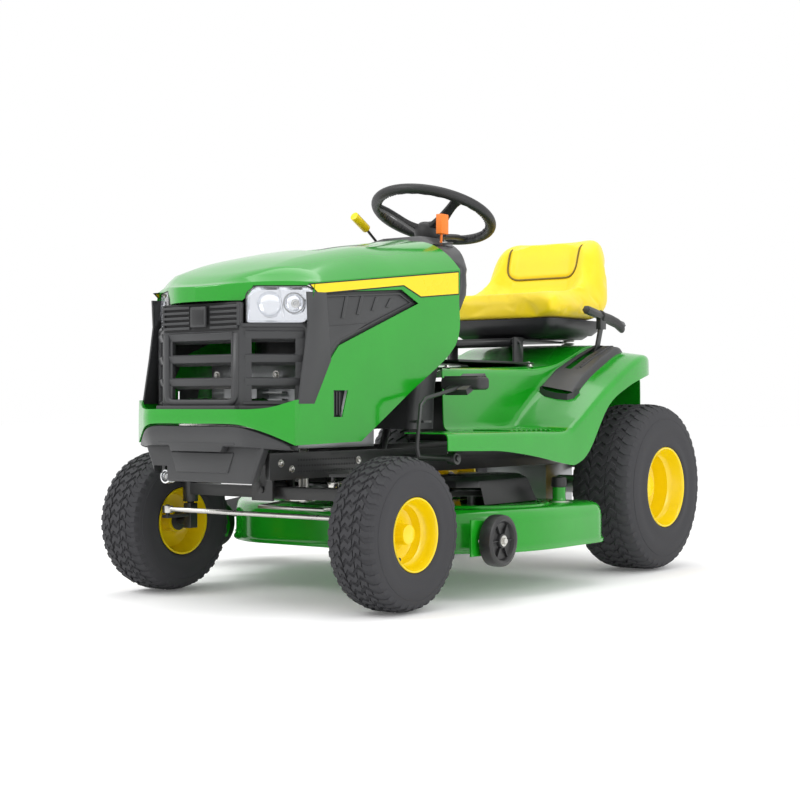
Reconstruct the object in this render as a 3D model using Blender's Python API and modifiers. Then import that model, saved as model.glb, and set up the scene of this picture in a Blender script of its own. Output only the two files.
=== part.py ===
"""Riding lawn mower with a side-discharge twin-blade deck.

The front faces -Y and the operator's left is +X. All sizes are in metres. The model is laid out about
the machine's centre plane (x = 0) and its wheelbase, then one parent empty shifts it, so that the
origin lies on the ground below the middle of the bounding box.
"""
import math

import bmesh
import bpy
from mathutils import Matrix, Vector

# Driving dimensions
SHIFT = (0.1425, 0.0208, 0.0)
FRONT_AXLE_Y = -0.62
REAR_AXLE_Y = 0.62
TYRE_SIDES = 28
TYRE_WALL = 0.014
FLAT = math.cos(math.pi / TYRE_SIDES)
FRONT_TYRE_R = 0.1905
FRONT_RIM_R = 0.0885
FRONT_TRACK = 0.387
REAR_TYRE_R = 0.254
REAR_RIM_R = 0.1185
REAR_TRACK = 0.386
AXLE_PIN_R = 0.0095
GAP = 0.0003
SHEET = 0.003
RAIL_X = 0.168
RAIL_W = 0.014
RAIL_Z = (0.320, 0.385)
KINGPIN_X = 0.295
KINGPIN_R = 0.0095
TIE_ROD_Z = 0.226
STEER_ARM = 0.085
LINK_ARM = Vector((-0.064, -0.040))
SECTOR = Vector((0.080, -0.214))
SECTOR_R = 0.118
SECTOR_TEETH_R = 0.099
SECTOR_AXIS = 163.6
PINION_R = 0.0147
COLUMN_TILT = math.radians(19.9)
WHEEL_CENTRE = Vector((0.0, 0.088, 1.058))
WHEEL_RING_R = 0.172
WHEEL_GRIP_R = 0.014
CRANK_Y = -0.50
PULLEY_R = 0.044
DECK_TOP = 0.230
DECK_BOTTOM = 0.118
BLADE_Y = -0.060
BLADES = {"left": 0.235, "right": -0.295}
BLADE_REACH = 0.240
DECK_PULLEY_R = 0.060
BELT = 0.009
SCALP_WHEEL = Vector((0.490, -0.318, 0.157))
HOOD_HALF = 0.262
FLOOR_Z = 0.430

BODY = bpy.data.collections.new("riding_lawn_mower")
CUTTERS = bpy.data.collections.new("cutters")

# Colour, roughness and metallic value of each kind of surface
FINISHES = {
    "green": ((0.010, 0.330, 0.025), 0.30, 0.0),
    "yellow": ((0.930, 0.720, 0.010), 0.35, 0.0),
    "black": ((0.025, 0.026, 0.028), 0.50, 0.0),
    "charcoal": ((0.060, 0.062, 0.066), 0.55, 0.0),
    "rubber": ((0.030, 0.031, 0.033), 0.85, 0.0),
    "steel": ((0.520, 0.520, 0.530), 0.35, 1.0),
    "iron": ((0.120, 0.120, 0.125), 0.55, 0.6),
    "lamp": ((0.850, 0.860, 0.880), 0.10, 0.0),
    "orange": ((0.900, 0.230, 0.020), 0.40, 0.0),
}


def clear_scene():
    for item in list(bpy.data.objects):
        bpy.data.objects.remove(item, do_unlink=True)
    for collection in (BODY, CUTTERS):
        bpy.context.scene.collection.children.link(collection)


# ---------------------------------------------------------------- shapes

def mesh_object(name, mesh):
    item = bpy.data.objects.new(name, mesh)
    CUTTERS.objects.link(item)
    return item


def from_bmesh(name, shape):
    mesh = bpy.data.meshes.new(name)
    shape.to_mesh(mesh)
    shape.free()
    return mesh_object(name, mesh)


def box(name, low, high):
    low, high = Vector(low), Vector(high)
    shape = bmesh.new()
    bmesh.ops.create_cube(shape, size=1.0, matrix=Matrix.Translation((low + high) / 2)
                          @ Matrix.Diagonal((*(high - low), 1.0)))
    return from_bmesh(name, shape)


def cylinder(name, start, end, radius, sides=16, end_radius=None):
    start, end = Vector(start), Vector(end)
    along = end - start
    turn = along.to_track_quat("Z", "Y").to_matrix().to_4x4()
    shape = bmesh.new()
    bmesh.ops.create_cone(
        shape, cap_ends=True, segments=sides, radius1=radius,
        radius2=radius if end_radius is None else end_radius, depth=along.length,
        matrix=Matrix.Translation((start + end) / 2) @ turn)
    return from_bmesh(name, shape)


def turned(name, profile, sides, matrix):
    """Turn a closed (radius, height) profile about local Z. It runs down its outer side."""
    mesh = bpy.data.meshes.new(name)
    count = len(profile)
    mesh.from_pydata([(r, 0.0, z) for r, z in profile],
                     [(i, (i + 1) % count) for i in range(count)], [])
    item = mesh_object(name, mesh)
    item.matrix_basis = matrix
    screw = item.modifiers.new("turn", "SCREW")
    screw.steps = sides
    screw.render_steps = sides
    screw.use_merge_vertices = True
    screw.merge_threshold = 0.00002
    return item


def as_mesh(curve_object):
    """Replace a curve by a mesh with its caps welded on."""
    bpy.context.view_layer.update()
    graph = bpy.context.evaluated_depsgraph_get()
    mesh = bpy.data.meshes.new_from_object(curve_object.evaluated_get(graph))
    shape = bmesh.new()
    shape.from_mesh(mesh)
    bmesh.ops.remove_doubles(shape, verts=shape.verts, dist=0.00005)
    shape.to_mesh(mesh)
    shape.free()
    item = mesh_object(curve_object.name + "_mesh", mesh)
    item.matrix_basis = curve_object.matrix_world
    bpy.data.objects.remove(curve_object, do_unlink=True)
    return item


def curve_object(name, points, cyclic, dimensions):
    curve = bpy.data.curves.new(name, "CURVE")
    curve.dimensions = dimensions
    spline = curve.splines.new("POLY")
    spline.points.add(len(points) - 1)
    for point, place in zip(spline.points, points):
        point.co = (*place, 0.0, 1.0) if len(place) == 2 else (*place, 1.0)
    spline.use_cyclic_u = cyclic
    item = bpy.data.objects.new(name, curve)
    CUTTERS.objects.link(item)
    return item


def pipe(name, points, radius, resolution=1):
    item = curve_object(name, points, False, "3D")
    item.data.bevel_depth = radius
    item.data.bevel_resolution = resolution
    item.data.use_fill_caps = True
    return as_mesh(item)


def slab(name, outline, low, high, matrix=None):
    """A flat outline (local x, y), made solid from local z = low to z = high."""
    item = curve_object(name, outline, True, "2D")
    item.data.fill_mode = "BOTH"
    item.data.extrude = (high - low) / 2
    item.matrix_basis = (matrix or Matrix()) @ Matrix.Translation((0.0, 0.0, (low + high) / 2))
    return as_mesh(item)


def loft(name, patches, closed=False):
    """Join point grids into one surface. A closed loft's rings also get end caps."""
    shape = bmesh.new()
    for grid in patches:
        rows = [[shape.verts.new(place) for place in row] for row in grid]
        for upper, lower in zip(rows, rows[1:]):
            columns = len(upper)
            for i in range(columns if closed else columns - 1):
                j = (i + 1) % columns
                shape.faces.new((upper[i], upper[j], lower[j], lower[i]))
        if closed:
            shape.faces.new(rows[0])
            shape.faces.new(rows[-1])
    bmesh.ops.remove_doubles(shape, verts=shape.verts, dist=0.00002)
    bmesh.ops.recalc_face_normals(shape, faces=shape.faces)
    shape.faces.ensure_lookup_table()
    if not closed:
        top = max(shape.faces, key=lambda face: face.calc_center_median().z)
        if top.normal.z < 0:
            bmesh.ops.reverse_faces(shape, faces=shape.faces)
    return from_bmesh(name, shape)


def mirrored(item):
    mirror = item.modifiers.new("other half", "MIRROR")
    mirror.use_clip = True
    mirror.merge_threshold = 0.00005
    return item


def thickened(item, thickness=SHEET):
    solid = item.modifiers.new("sheet", "SOLIDIFY")
    solid.thickness = thickness
    solid.offset = -1.0
    return item


def combine(item, tools, operation):
    for tool in tools:
        tool.hide_render = True
        tool.display_type = "WIRE"
        modifier = item.modifiers.new(operation.lower(), "BOOLEAN")
        modifier.operation = operation
        modifier.solver = "EXACT"
        modifier.object = tool
    return item


def join(item, *tools):
    return combine(item, tools, "UNION")


def cut(item, *tools):
    return combine(item, tools, "DIFFERENCE")


# ---------------------------------------------------------------- layout

def finish(name, item, finish_name, origin=None):
    """Name a finished sub-part, give it its material and put its origin on its joint's axis."""
    CUTTERS.objects.unlink(item)
    BODY.objects.link(item)
    item.name = name
    if origin is not None:
        move = Matrix.Translation(origin) @ item.matrix_basis.to_3x3().to_4x4()
        item.data.transform(move.inverted() @ item.matrix_basis)
        item.matrix_basis = move
    colour, roughness, metallic = FINISHES[finish_name]
    material = bpy.data.materials.new(name)
    material.use_nodes = True
    shader = material.node_tree.nodes["Principled BSDF"]
    shader.inputs["Base Color"].default_value = (*colour, 1.0)
    shader.inputs["Roughness"].default_value = roughness
    shader.inputs["Metallic"].default_value = metallic
    item.data.materials.clear()
    item.data.materials.append(material)
    return item


def between(value, table):
    """Linear interpolation in a list of (value, result) pairs."""
    if value <= table[0][0]:
        return table[0][1]
    for (a, low), (b, high) in zip(table, table[1:]):
        if value <= b:
            return low + (high - low) * (value - a) / (b - a)
    return table[-1][1]


def mix(a, b, t):
    return a + (b - a) * t


def arc(centre, radius, start, end, steps):
    """Points on an arc, with its angles in degrees."""
    for i in range(steps + 1):
        angle = math.radians(mix(start, end, i / steps))
        yield (centre[0] + radius * math.cos(angle), centre[1] + radius * math.sin(angle))


def across(side):
    """Turn local +Z to the machine's left or right, with a tyre facet flat on the ground."""
    return (Matrix.Rotation(side * math.pi / 2, 4, "Y")
            @ Matrix.Rotation(math.pi / TYRE_SIDES, 4, "Z"))


# ---------------------------------------------------------------- wheels

def wheel(name, side, y, tyre_r, rim_r, track, half_rim, half_tread, hub_face):
    centre = Matrix.Translation((side * track, y, tyre_r * FLAT)) @ across(side)
    shoulder = tyre_r - 0.022
    wall = rim_r + 0.3 * (tyre_r - rim_r)
    bead = rim_r + GAP
    tyre = [
        (wall, half_rim + 0.008),
        (shoulder, half_tread + 0.016),
        (tyre_r, half_tread - 0.004),
        (tyre_r, -half_tread + 0.004),
        (shoulder, -half_tread - 0.016),
        (wall, -half_rim - 0.008),
        (bead, -half_rim),
        (bead, -half_rim + TYRE_WALL),
        (wall, -half_rim - 0.008 + TYRE_WALL),
        (shoulder - 0.5 * TYRE_WALL, -half_tread - 0.016 + TYRE_WALL),
        (tyre_r - TYRE_WALL, -half_tread + 0.004),
        (tyre_r - TYRE_WALL, half_tread - 0.004),
        (shoulder - 0.5 * TYRE_WALL, half_tread + 0.016 - TYRE_WALL),
        (wall, half_rim + 0.008 - TYRE_WALL),
        (bead, half_rim - TYRE_WALL),
        (bead, half_rim),
    ]
    finish("tyre_" + name, turned("tyre", tyre, TYRE_SIDES, centre), "rubber")
    barrel = rim_r - 0.006
    bore = (AXLE_PIN_R + GAP) / FLAT
    rim = [
        (rim_r, half_rim),
        (rim_r, -half_rim),
        (barrel, -half_rim),
        (barrel, -0.022),
        (0.030, -0.014),
        (0.030, -half_rim + 0.016),
        (bore, -half_rim + 0.016),
        (bore, hub_face),
        (0.030, hub_face),
        (0.030, 0.002),
        (barrel, -0.010),
        (barrel, half_rim),
    ]
    finish("rim_" + name, turned("rim", rim, TYRE_SIDES, centre), "yellow")


def wheels():
    for label, side in (("left", 1), ("right", -1)):
        wheel("front_" + label, side, FRONT_AXLE_Y, FRONT_TYRE_R, FRONT_RIM_R, FRONT_TRACK,
              0.064, 0.054, 0.034)
        wheel("rear_" + label, side, REAR_AXLE_Y, REAR_TYRE_R, REAR_RIM_R, REAR_TRACK,
              0.096, 0.082, 0.020)


# ---------------------------------------------------------------- frame and axles

def frame_rails():
    low, high = RAIL_Z
    for label, side in (("left", 1), ("right", -1)):
        inner, outer = sorted((side * RAIL_X, side * (RAIL_X + RAIL_W)))
        rail = box("rail", (inner, -0.84, low), (outer, 0.72, high))
        if side > 0:
            tab = box("sector_tab", (0.062, SECTOR.y - 0.022, 0.350), (0.175, SECTOR.y + 0.022, 0.358))
            hole = cylinder("sector_hole", (*SECTOR, 0.34), (*SECTOR, 0.37), 0.0080)
            brake_pin = cylinder("brake_pin", (0.175, -0.30, 0.362), (0.356, -0.30, 0.362), 0.008, 12)
            lift_pin = cylinder("lift_pin", (0.175, 0.46, 0.350), (0.282, 0.46, 0.350), 0.008, 12)
            cut(tab, hole)
            join(rail, tab, brake_pin, lift_pin)
        else:
            drive_pin = cylinder("drive_pin", (-0.175, -0.10, 0.360), (-0.372, -0.10, 0.360), 0.008, 12)
            join(rail, drive_pin)
        finish("frame_rail_" + label, rail, "black")


def front_cross_plate():
    y = FRONT_AXLE_Y
    plate = box("plate", (-0.165, y - 0.044, 0.345), (0.165, y + 0.044, 0.362))
    ears = [box("ear", (-0.035, y + s * 0.040 - 0.004, 0.257), (0.035, y + s * 0.040 + 0.004, 0.350))
            for s in (-1, 1)]
    pin = cylinder("axle_bolt", (0.0, y - 0.050, 0.285), (0.0, y + 0.050, 0.285), 0.0085, 12)
    finish("front_cross_plate", join(plate, *ears, pin), "black")


def axle_beam():
    y = FRONT_AXLE_Y
    beam = box("beam", (-KINGPIN_X, y - 0.015, 0.262), (KINGPIN_X, y + 0.015, 0.292))
    bosses = [cylinder("boss", (s * KINGPIN_X, y, 0.243), (s * KINGPIN_X, y, 0.320), 0.020)
              for s in (-1, 1)]
    centre = cylinder("centre_boss", (0.0, y - 0.030, 0.285), (0.0, y + 0.030, 0.285), 0.024)
    bores = [cylinder("kingpin_bore", (s * KINGPIN_X, y, 0.23), (s * KINGPIN_X, y, 0.33), 0.0100)
             for s in (-1, 1)]
    centre_bore = cylinder("centre_bore", (0.0, y - 0.04, 0.285), (0.0, y + 0.04, 0.285), 0.0092)
    join(beam, *bosses, centre)
    cut(beam, *bores, centre_bore)
    finish("axle_beam", beam, "black", (0.0, y, 0.285))


def spindles():
    y = FRONT_AXLE_Y
    hub_z = FRONT_TYRE_R * FLAT
    for label, side in (("left", 1), ("right", -1)):
        x = side * KINGPIN_X
        block = box("block", (x - 0.013, y - 0.013, 0.172), (x + 0.013, y + 0.013, 0.238))
        kingpin = cylinder("kingpin", (x, y, 0.20), (x, y, 0.331), KINGPIN_R)
        axle = turned_axle("axle", (x, y, hub_z), side, 0.135)
        arm = box("steer_arm", (x - 0.010, y - STEER_ARM - 0.011, 0.203), (x + 0.010, y, 0.211))
        stud = cylinder("stud", (x, y - STEER_ARM, 0.205), (x, y - STEER_ARM, 0.238), 0.006, 12)
        parts = [kingpin, axle, arm, stud]
        if side > 0:
            end = Vector((x, y)) + LINK_ARM
            top = bar_between("link_arm", Vector((x, y)), end, 0.010, 0.3235, 0.331)
            link_stud = cylinder("link_stud", (*end, 0.2965), (*end, 0.327), 0.006, 12)
            parts += [top, link_stud]
        finish("spindle_" + label, join(block, *parts), "black", (x, y, hub_z))


def turned_axle(name, start, side, length):
    """An axle pin whose facets line up with those of the rim's bore."""
    item = cylinder(name, (0.0, 0.0, 0.0), (0.0, 0.0, length), AXLE_PIN_R, TYRE_SIDES)
    item.data.transform(Matrix.Translation(start) @ across(side))
    return item


def bar_between(name, start, end, half_width, low, high):
    """A flat bar with square ends that reach past two plan points."""
    along = (end - start).normalized()
    side = Vector((-along.y, along.x)) * half_width
    first = start - along * half_width
    last = end + along * half_width
    return slab(name, [first - side, last - side, last + side, first + side], low, high)


def linkage():
    y = FRONT_AXLE_Y - STEER_ARM
    ends = [Vector((s * KINGPIN_X, y, TIE_ROD_Z)) for s in (1, -1)]
    rod = cylinder("rod", ends[0], ends[1], 0.006, 10)
    finish("tie_rod", with_eyes(rod, ends, 0.014, 0.0068, 0.009), "steel", ends[0])
    start = Vector((KINGPIN_X, FRONT_AXLE_Y)) + LINK_ARM
    far = SECTOR + LINK_ARM
    ends = [Vector((*start, 0.304)), Vector((*far, 0.304))]
    link = cylinder("link", ends[0], ends[1], 0.005, 10)
    finish("drag_link", with_eyes(link, ends, 0.014, 0.0085, 0.006), "steel", ends[0])


def with_eyes(rod, ends, outer, inner, half_height):
    for end in ends:
        lift = Vector((0.0, 0.0, half_height))
        join(rod, cylinder("eye", end - lift, end + lift, outer, 16))
    for end in ends:
        lift = Vector((0.0, 0.0, 2 * half_height))
        cut(rod, cylinder("eye_hole", end - lift, end + lift, inner, 16))
    return rod


def steering_sector():
    hub = cylinder("hub", (*SECTOR, 0.279), (*SECTOR, 0.372), 0.0072)
    start, end = SECTOR_AXIS - 43, SECTOR_AXIS + 43
    fan = slab("fan", [tuple(SECTOR), *arc(SECTOR, SECTOR_R, start, end, 10)], 0.279, 0.287)
    opening = [*arc(SECTOR, 0.030, start + 6, end - 6, 3), *arc(SECTOR, SECTOR_TEETH_R, end - 6, start + 6, 9)]
    window = slab("window", opening, 0.27, 0.30)
    disc = cylinder("disc", (*SECTOR, 0.279), (*SECTOR, 0.287), 0.020)
    far = SECTOR + LINK_ARM
    arm = bar_between("arm", SECTOR, far, 0.009, 0.279, 0.287)
    stud = cylinder("stud", (*far, 0.283), (*far, 0.314), 0.006, 12)
    join(cut(fan, window), disc, hub, arm, stud)
    finish("steering_sector", fan, "iron", (*SECTOR, 0.283))


def column_point(z):
    """The point of the tilted steering column's axis at a given height."""
    drop = (WHEEL_CENTRE.z - z) * math.tan(COLUMN_TILT)
    return Vector((0.0, WHEEL_CENTRE.y - drop, z))


def steering():
    shaft = cylinder("shaft", column_point(0.300), column_point(1.035), 0.011, 12)
    pinion = cylinder("pinion", column_point(0.279), column_point(0.302), PINION_R, 16)
    finish("steering_shaft", join(shaft, pinion), "iron", column_point(0.60))
    tilt = Matrix.Translation(WHEEL_CENTRE) @ Matrix.Rotation(-COLUMN_TILT, 4, "X")
    grip = [(WHEEL_RING_R + WHEEL_GRIP_R * c, WHEEL_GRIP_R * s)
            for c, s in arc((0.0, 0.0), 1.0, 150, -210 + 60, 5)]
    ring = turned("ring", grip, 28, tilt)
    hub = cylinder("hub", (0.0, 0.0, -0.045), (0.0, 0.0, 0.006), 0.034, 20, 0.044)
    spokes = []
    for angle in (90, 210, 330):
        spoke = box("spoke", (0.020, -0.016, -0.012), (WHEEL_RING_R - 0.004, 0.016, -0.002))
        spoke.data.transform(Matrix.Rotation(math.radians(angle), 4, "Z"))
        spokes.append(spoke)
    for item in (hub, *spokes):
        item.data.transform(tilt)
    socket = cylinder("socket", column_point(0.90), column_point(1.0355), 0.0116, 12)
    join(ring, *spokes, hub)
    cut(ring, socket)
    finish("steering_wheel", ring, "black")


def transaxle():
    hub_z = REAR_TYRE_R * FLAT
    case = box("case", (-0.11, 0.54, 0.19), (0.11, 0.70, 0.315))
    tube = cylinder("tube", (-0.27, REAR_AXLE_Y, hub_z), (0.27, REAR_AXLE_Y, hub_z), 0.028)
    axles = [turned_axle("axle", (0.0, REAR_AXLE_Y, hub_z), s, 0.425) for s in (-1, 1)]
    stub = cylinder("stub", (0.0, REAR_AXLE_Y, 0.30), (0.0, REAR_AXLE_Y, 0.335), 0.012)
    pulley = cylinder("pulley", (0.0, REAR_AXLE_Y, 0.330), (0.0, REAR_AXLE_Y, 0.350), PULLEY_R, 24)
    finish("transaxle", join(case, tube, *axles, stub, pulley), "iron")


def belt_loop(name, pulleys, gap, low, high):
    """A closed belt round pulleys given as (x, y, radius, start angle, end angle) in order."""
    inner = []
    outer = []
    for x, y, radius, start, end in pulleys:
        inner += arc((x, y), radius + gap, start, end, 8)
        outer += arc((x, y), radius + gap + BELT, start, end, 8)
    belt = slab(name, outer, low, high)
    return cut(belt, slab("belt_inside", inner, low - 0.01, high + 0.01))


def belts():
    ends = [(0.0, CRANK_Y, PULLEY_R, 180, 360), (0.0, REAR_AXLE_Y, PULLEY_R, 0, 180)]
    finish("traction_belt", belt_loop("belt", ends, 0.0010, 0.334, 0.346), "rubber")
    left, right = BLADES["left"], BLADES["right"]
    loop = [(0.0, CRANK_Y, 0.050, 214, 332), (left, BLADE_Y, DECK_PULLEY_R, -28, 90),
            (right, BLADE_Y, DECK_PULLEY_R, 90, 214)]
    finish("deck_belt", belt_loop("belt", loop, 0.0010, 0.254, 0.266), "rubber")


def hitch_plate():
    plate = box("plate", (-0.15, 0.7225, 0.30), (0.15, 0.7285, 0.42))
    tongue = box("tongue", (-0.05, 0.725, 0.30), (0.05, 0.81, 0.307))
    finish("hitch_plate", join(plate, tongue), "black")


# ---------------------------------------------------------------- engine bay

def engine():
    block = box("block", (-0.14, -0.70, 0.392), (0.14, -0.38, 0.600))
    head = box("head", (-0.055, -0.745, 0.43), (0.055, -0.69, 0.56))
    bore = cylinder("crank_bore", (0.0, CRANK_Y, 0.38), (0.0, CRANK_Y, 0.61), 0.0140)
    finish("engine_block", cut(join(block, head), bore), "iron")
    housing = [(0.125, 0.700), (0.130, 0.604), (0.118, 0.604), (0.113, 0.690), (0.040, 0.690),
               (0.040, 0.715), (0.100, 0.715)]
    place = Matrix.Translation((0.0, CRANK_Y, 0.0))
    finish("blower_housing", turned("housing", housing, 24, place), "black")
    shaft = cylinder("shaft", (0.0, CRANK_Y, 0.245), (0.0, CRANK_Y, 0.665), 0.0125)
    drive = cylinder("drive", (0.0, CRANK_Y, 0.330), (0.0, CRANK_Y, 0.350), PULLEY_R, 24)
    deck_drive = cylinder("deck_drive", (0.0, CRANK_Y, 0.250), (0.0, CRANK_Y, 0.270), 0.050, 24)
    fan = cylinder("fan", (0.0, CRANK_Y, 0.625), (0.0, CRANK_Y, 0.660), 0.095, 24)
    finish("crankshaft", join(shaft, drive, deck_drive, fan), "steel", (0.0, CRANK_Y, 0.50))


def muffler():
    can = cylinder("can", (-0.125, -0.80, 0.475), (0.125, -0.80, 0.475), 0.042, 16)
    route = [(-0.143 + 0.03, -0.80, 0.46), (-0.143, -0.785, 0.405), (-0.143, -0.775, 0.345),
             (-0.143, -0.790, 0.326), (-0.143, -0.840, 0.322)]
    finish("muffler", join(can, pipe("pipe", route, 0.014)), "steel")


def bay_boxes():
    tank = box("tank", (-0.15, -0.355, 0.62), (0.15, -0.275, 0.80))
    neck = cylinder("neck", (-0.07, -0.315, 0.79), (-0.07, -0.315, 0.812), 0.020)
    finish("fuel_tank", join(tank, neck), "charcoal")
    cap = cylinder("cap", (-0.07, -0.315, 0.8125), (-0.07, -0.315, 0.838), 0.030, 20)
    finish("fuel_cap", cap, "black", (-0.07, -0.315, 0.82))
    finish("battery", box("battery", (-0.10, 0.10, 0.395), (0.10, 0.28, 0.57)), "black")


# ---------------------------------------------------------------- hood

CROWN = [(-0.905, 0.785), (-0.84, 0.818), (-0.71, 0.868), (-0.49, 0.914), (-0.36, 0.929),
         (-0.075, 0.972)]
SHOULDER = [(-0.905, 0.782), (-0.77, 0.794), (-0.165, 0.866)]
NOSE_Y = [(0.0, -0.905), (0.27, -0.895), (0.53, -0.858), (0.76, -0.815), (1.0, -0.770)]
NOSE_Z = [(0.0, 0.787), (0.53, 0.792), (1.0, 0.794)]
HOOD_REAR_Y = [(0.0, -0.100), (0.20, -0.112), (0.38, -0.170), (1.0, -0.168)]
HOOD_STEPS = (0.0, 0.03, 0.12, 0.30, 0.55, 0.80, 1.0)
HOOD_COLUMNS = (0.0, 0.25, 0.50, 0.72, 0.90, 1.0)
SIDE_ROWS = [  # front y, front z, rear y, rear z
    (-0.785, 0.720, -0.172, 0.790),
    (-0.800, 0.620, -0.190, 0.660),
    (-0.820, 0.510, -0.400, 0.530),
    (-0.840, 0.405, -0.600, 0.410),
]
CHIN = [  # x, y, bottom z, top z
    (0.0, -0.914, 0.455, 0.490),
    (0.125, -0.914, 0.455, 0.490),
    (0.170, -0.905, 0.448, 0.490),
    (0.215, -0.875, 0.430, 0.495),
]


def hood_z(u, y):
    crown = between(y, CROWN)
    return crown - (crown - between(y, SHOULDER)) * u ** 2.8


def hood_shell():
    top = []
    for t in HOOD_STEPS:
        row = []
        for u in HOOD_COLUMNS:
            y = mix(between(u, NOSE_Y), between(u, HOOD_REAR_Y), t)
            z = between(u, NOSE_Z) if t == 0.0 else hood_z(u, y)
            row.append((u * (HOOD_HALF + 0.008 * t), y, z))
        top.append(row)
    lip = [top[0][:3], [(x, y + 0.003, 0.750) for x, y, _ in top[0][:3]]]
    side = [[row[-1] for row in top]]
    for front_y, front_z, rear_y, rear_z in SIDE_ROWS:
        side.append([(HOOD_HALF + 0.008 * t, mix(front_y, rear_y, t), mix(front_z, rear_z, t))
                     for t in HOOD_STEPS])
    chin = [[(x, y, low), (x, y, high)] for x, y, low, high in CHIN]
    chin.append([side[-1][0], side[-2][0]])
    shell = thickened(mirrored(loft("hood", [top, lip, side, chin])))
    for side_sign in (-1, 1):
        window = side_slab("vent_window", VENT, side_sign, 0.22, 0.30)
        louvre = side_slab("louvre_slot", LOUVRE, side_sign, 0.22, 0.30)
        cut(shell, window, louvre)
    finish("hood_shell", shell, "green", HOOD_PIVOT)


HOOD_PIVOT = (0.0, -0.860, 0.400)
VENT = [(-0.731, 0.772), (-0.427, 0.796), (-0.355, 0.764), (-0.678, 0.645), (-0.712, 0.609),
        (-0.774, 0.501)]
LOUVRE = [(-0.700, 0.536), (-0.645, 0.536), (-0.668, 0.471), (-0.700, 0.471)]


def side_slab(name, outline, side, low, high):
    """Make a (y, z) outline solid across the machine, from x = low to x = high on one side."""
    turn = Matrix(((0, 0, side, 0), (1, 0, 0, 0), (0, 1, 0, 0), (0, 0, 0, 1)))
    points = [tuple(point) for point in outline]
    item = slab(name, points, low, high)
    item.data.transform(turn @ item.matrix_basis)
    item.matrix_basis = Matrix()
    shape = bmesh.new()
    shape.from_mesh(item.data)
    bmesh.ops.recalc_face_normals(shape, faces=shape.faces)
    shape.to_mesh(item.data)
    shape.free()
    return item


def hood_fittings():
    for label, side in (("left", 1), ("right", -1)):
        vent = side_slab("vent", VENT, side, 0.2545, 0.2575)
        finish("side_vent_" + label, vent, "charcoal", HOOD_PIVOT)
        lamp = [(side * x, y) for x, y in ((0.137, -0.860), (0.254, -0.772), (0.254, -0.720),
                                           (0.137, -0.800))]
        finish("headlight_" + label, slab("lamp", lamp, 0.702, 0.782), "lamp", HOOD_PIVOT)


def grille():
    panel = box("panel", (-0.128, -0.885, 0.495), (0.128, -0.873, 0.745))
    sweep = Vector((0.117, 0.102)).normalized()
    slots = []
    for side in (-1, 1):
        wing = [(side * x, y) for x, y in ((0.110, -0.885), (0.128, -0.885), (0.2530, -0.7765),
                                           (0.2450, -0.767), (0.123, -0.873), (0.110, -0.873))]
        join(panel, slab("wing", wing, 0.495, 0.695))
        turn = Matrix.Rotation(math.atan2(sweep.y, sweep.x), 4, "Z")
        for row in range(3):
            z = 0.510 + 0.056 * row
            slot = box("wing_slot", (-0.052, -0.03, z), (0.052, 0.03, z + 0.036))
            slot.data.transform(Matrix.Scale(side, 4, (1, 0, 0)) @ Matrix.Translation((0.187, -0.832, 0))
                                @ turn)
            if side < 0:
                slot.data.flip_normals()
            slots.append(slot)
    for row in range(3):
        z = 0.510 + 0.056 * row
        slots.append(box("slot", (-0.098, -0.90, z), (0.098, -0.86, z + 0.036)))
    finish("grille", cut(panel, *slots), "charcoal", HOOD_PIVOT)


def front_bumper():
    stations = [(0.0, -0.912, 0.400, 0.450), (0.125, -0.912, 0.400, 0.450),
                (0.170, -0.903, 0.398, 0.443), (0.215, -0.873, 0.394, 0.424),
                (0.250, -0.845, 0.392, 0.404)]
    rings = []
    for sign, part in ((-1, reversed(stations[1:])), (1, stations)):
        for x, y, low, high in part:
            rings.append([(sign * x, y, low), (sign * x, y, high), (sign * x, y + 0.028, high),
                          (sign * x, y + 0.028, low)])
    bar = loft("bar", [rings], closed=True)
    plate = slab("plate", [(-0.200, 0.405), (0.200, 0.405), (0.155, 0.310), (-0.155, 0.310)],
                 0.850, 0.872)
    plate.data.transform(Matrix(((1, 0, 0, 0), (0, 0, -1, 0), (0, 1, 0, 0), (0, 0, 0, 1)))
                         @ plate.matrix_basis)
    plate.matrix_basis = Matrix()
    notch = box("notch", (-0.162, -0.90, 0.300), (-0.124, -0.84, 0.345))
    finish("front_bumper", cut(join(bar, plate), notch), "charcoal")


# ---------------------------------------------------------------- body and dash

DECK_ROWS = [  # y, inner x, inner z, outer x, outer z, lip bottom z
    (-0.440, 0.285, 0.430, 0.420, 0.430, 0.385),
    (-0.300, 0.238, 0.430, 0.420, 0.430, 0.382),
    (-0.180, 0.225, 0.430, 0.420, 0.430, 0.378),
    (-0.020, 0.225, 0.430, 0.420, 0.430, 0.360),
    (0.140, 0.225, 0.432, 0.420, 0.428, 0.335),
    (0.200, 0.225, 0.470, 0.420, 0.450, 0.335),
    (0.270, 0.225, 0.520, 0.420, 0.490, 0.372),
    (0.380, 0.225, 0.590, 0.420, 0.550, 0.498),
    (0.500, 0.225, 0.635, 0.420, 0.610, 0.555),
    (0.600, 0.225, 0.668, 0.415, 0.648, 0.582),
    (0.680, 0.225, 0.672, 0.395, 0.650, 0.594),
    (0.780, 0.225, 0.645, 0.330, 0.625, 0.590),
    (0.800, 0.225, 0.600, 0.300, 0.590, 0.585),
]
TOWER_TOP = [(-0.180, 0.600), (0.140, 0.608), (0.380, 0.618), (0.500, 0.648), (0.600, 0.682),
             (0.680, 0.686), (0.780, 0.660), (0.800, 0.615)]
TOWER_FRONT = {  # y of the tower's first rows, column by column
    -0.180: (-0.020, -0.030, -0.125, -0.130),
    -0.020: (0.040, 0.035, -0.010, -0.015),
}


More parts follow.
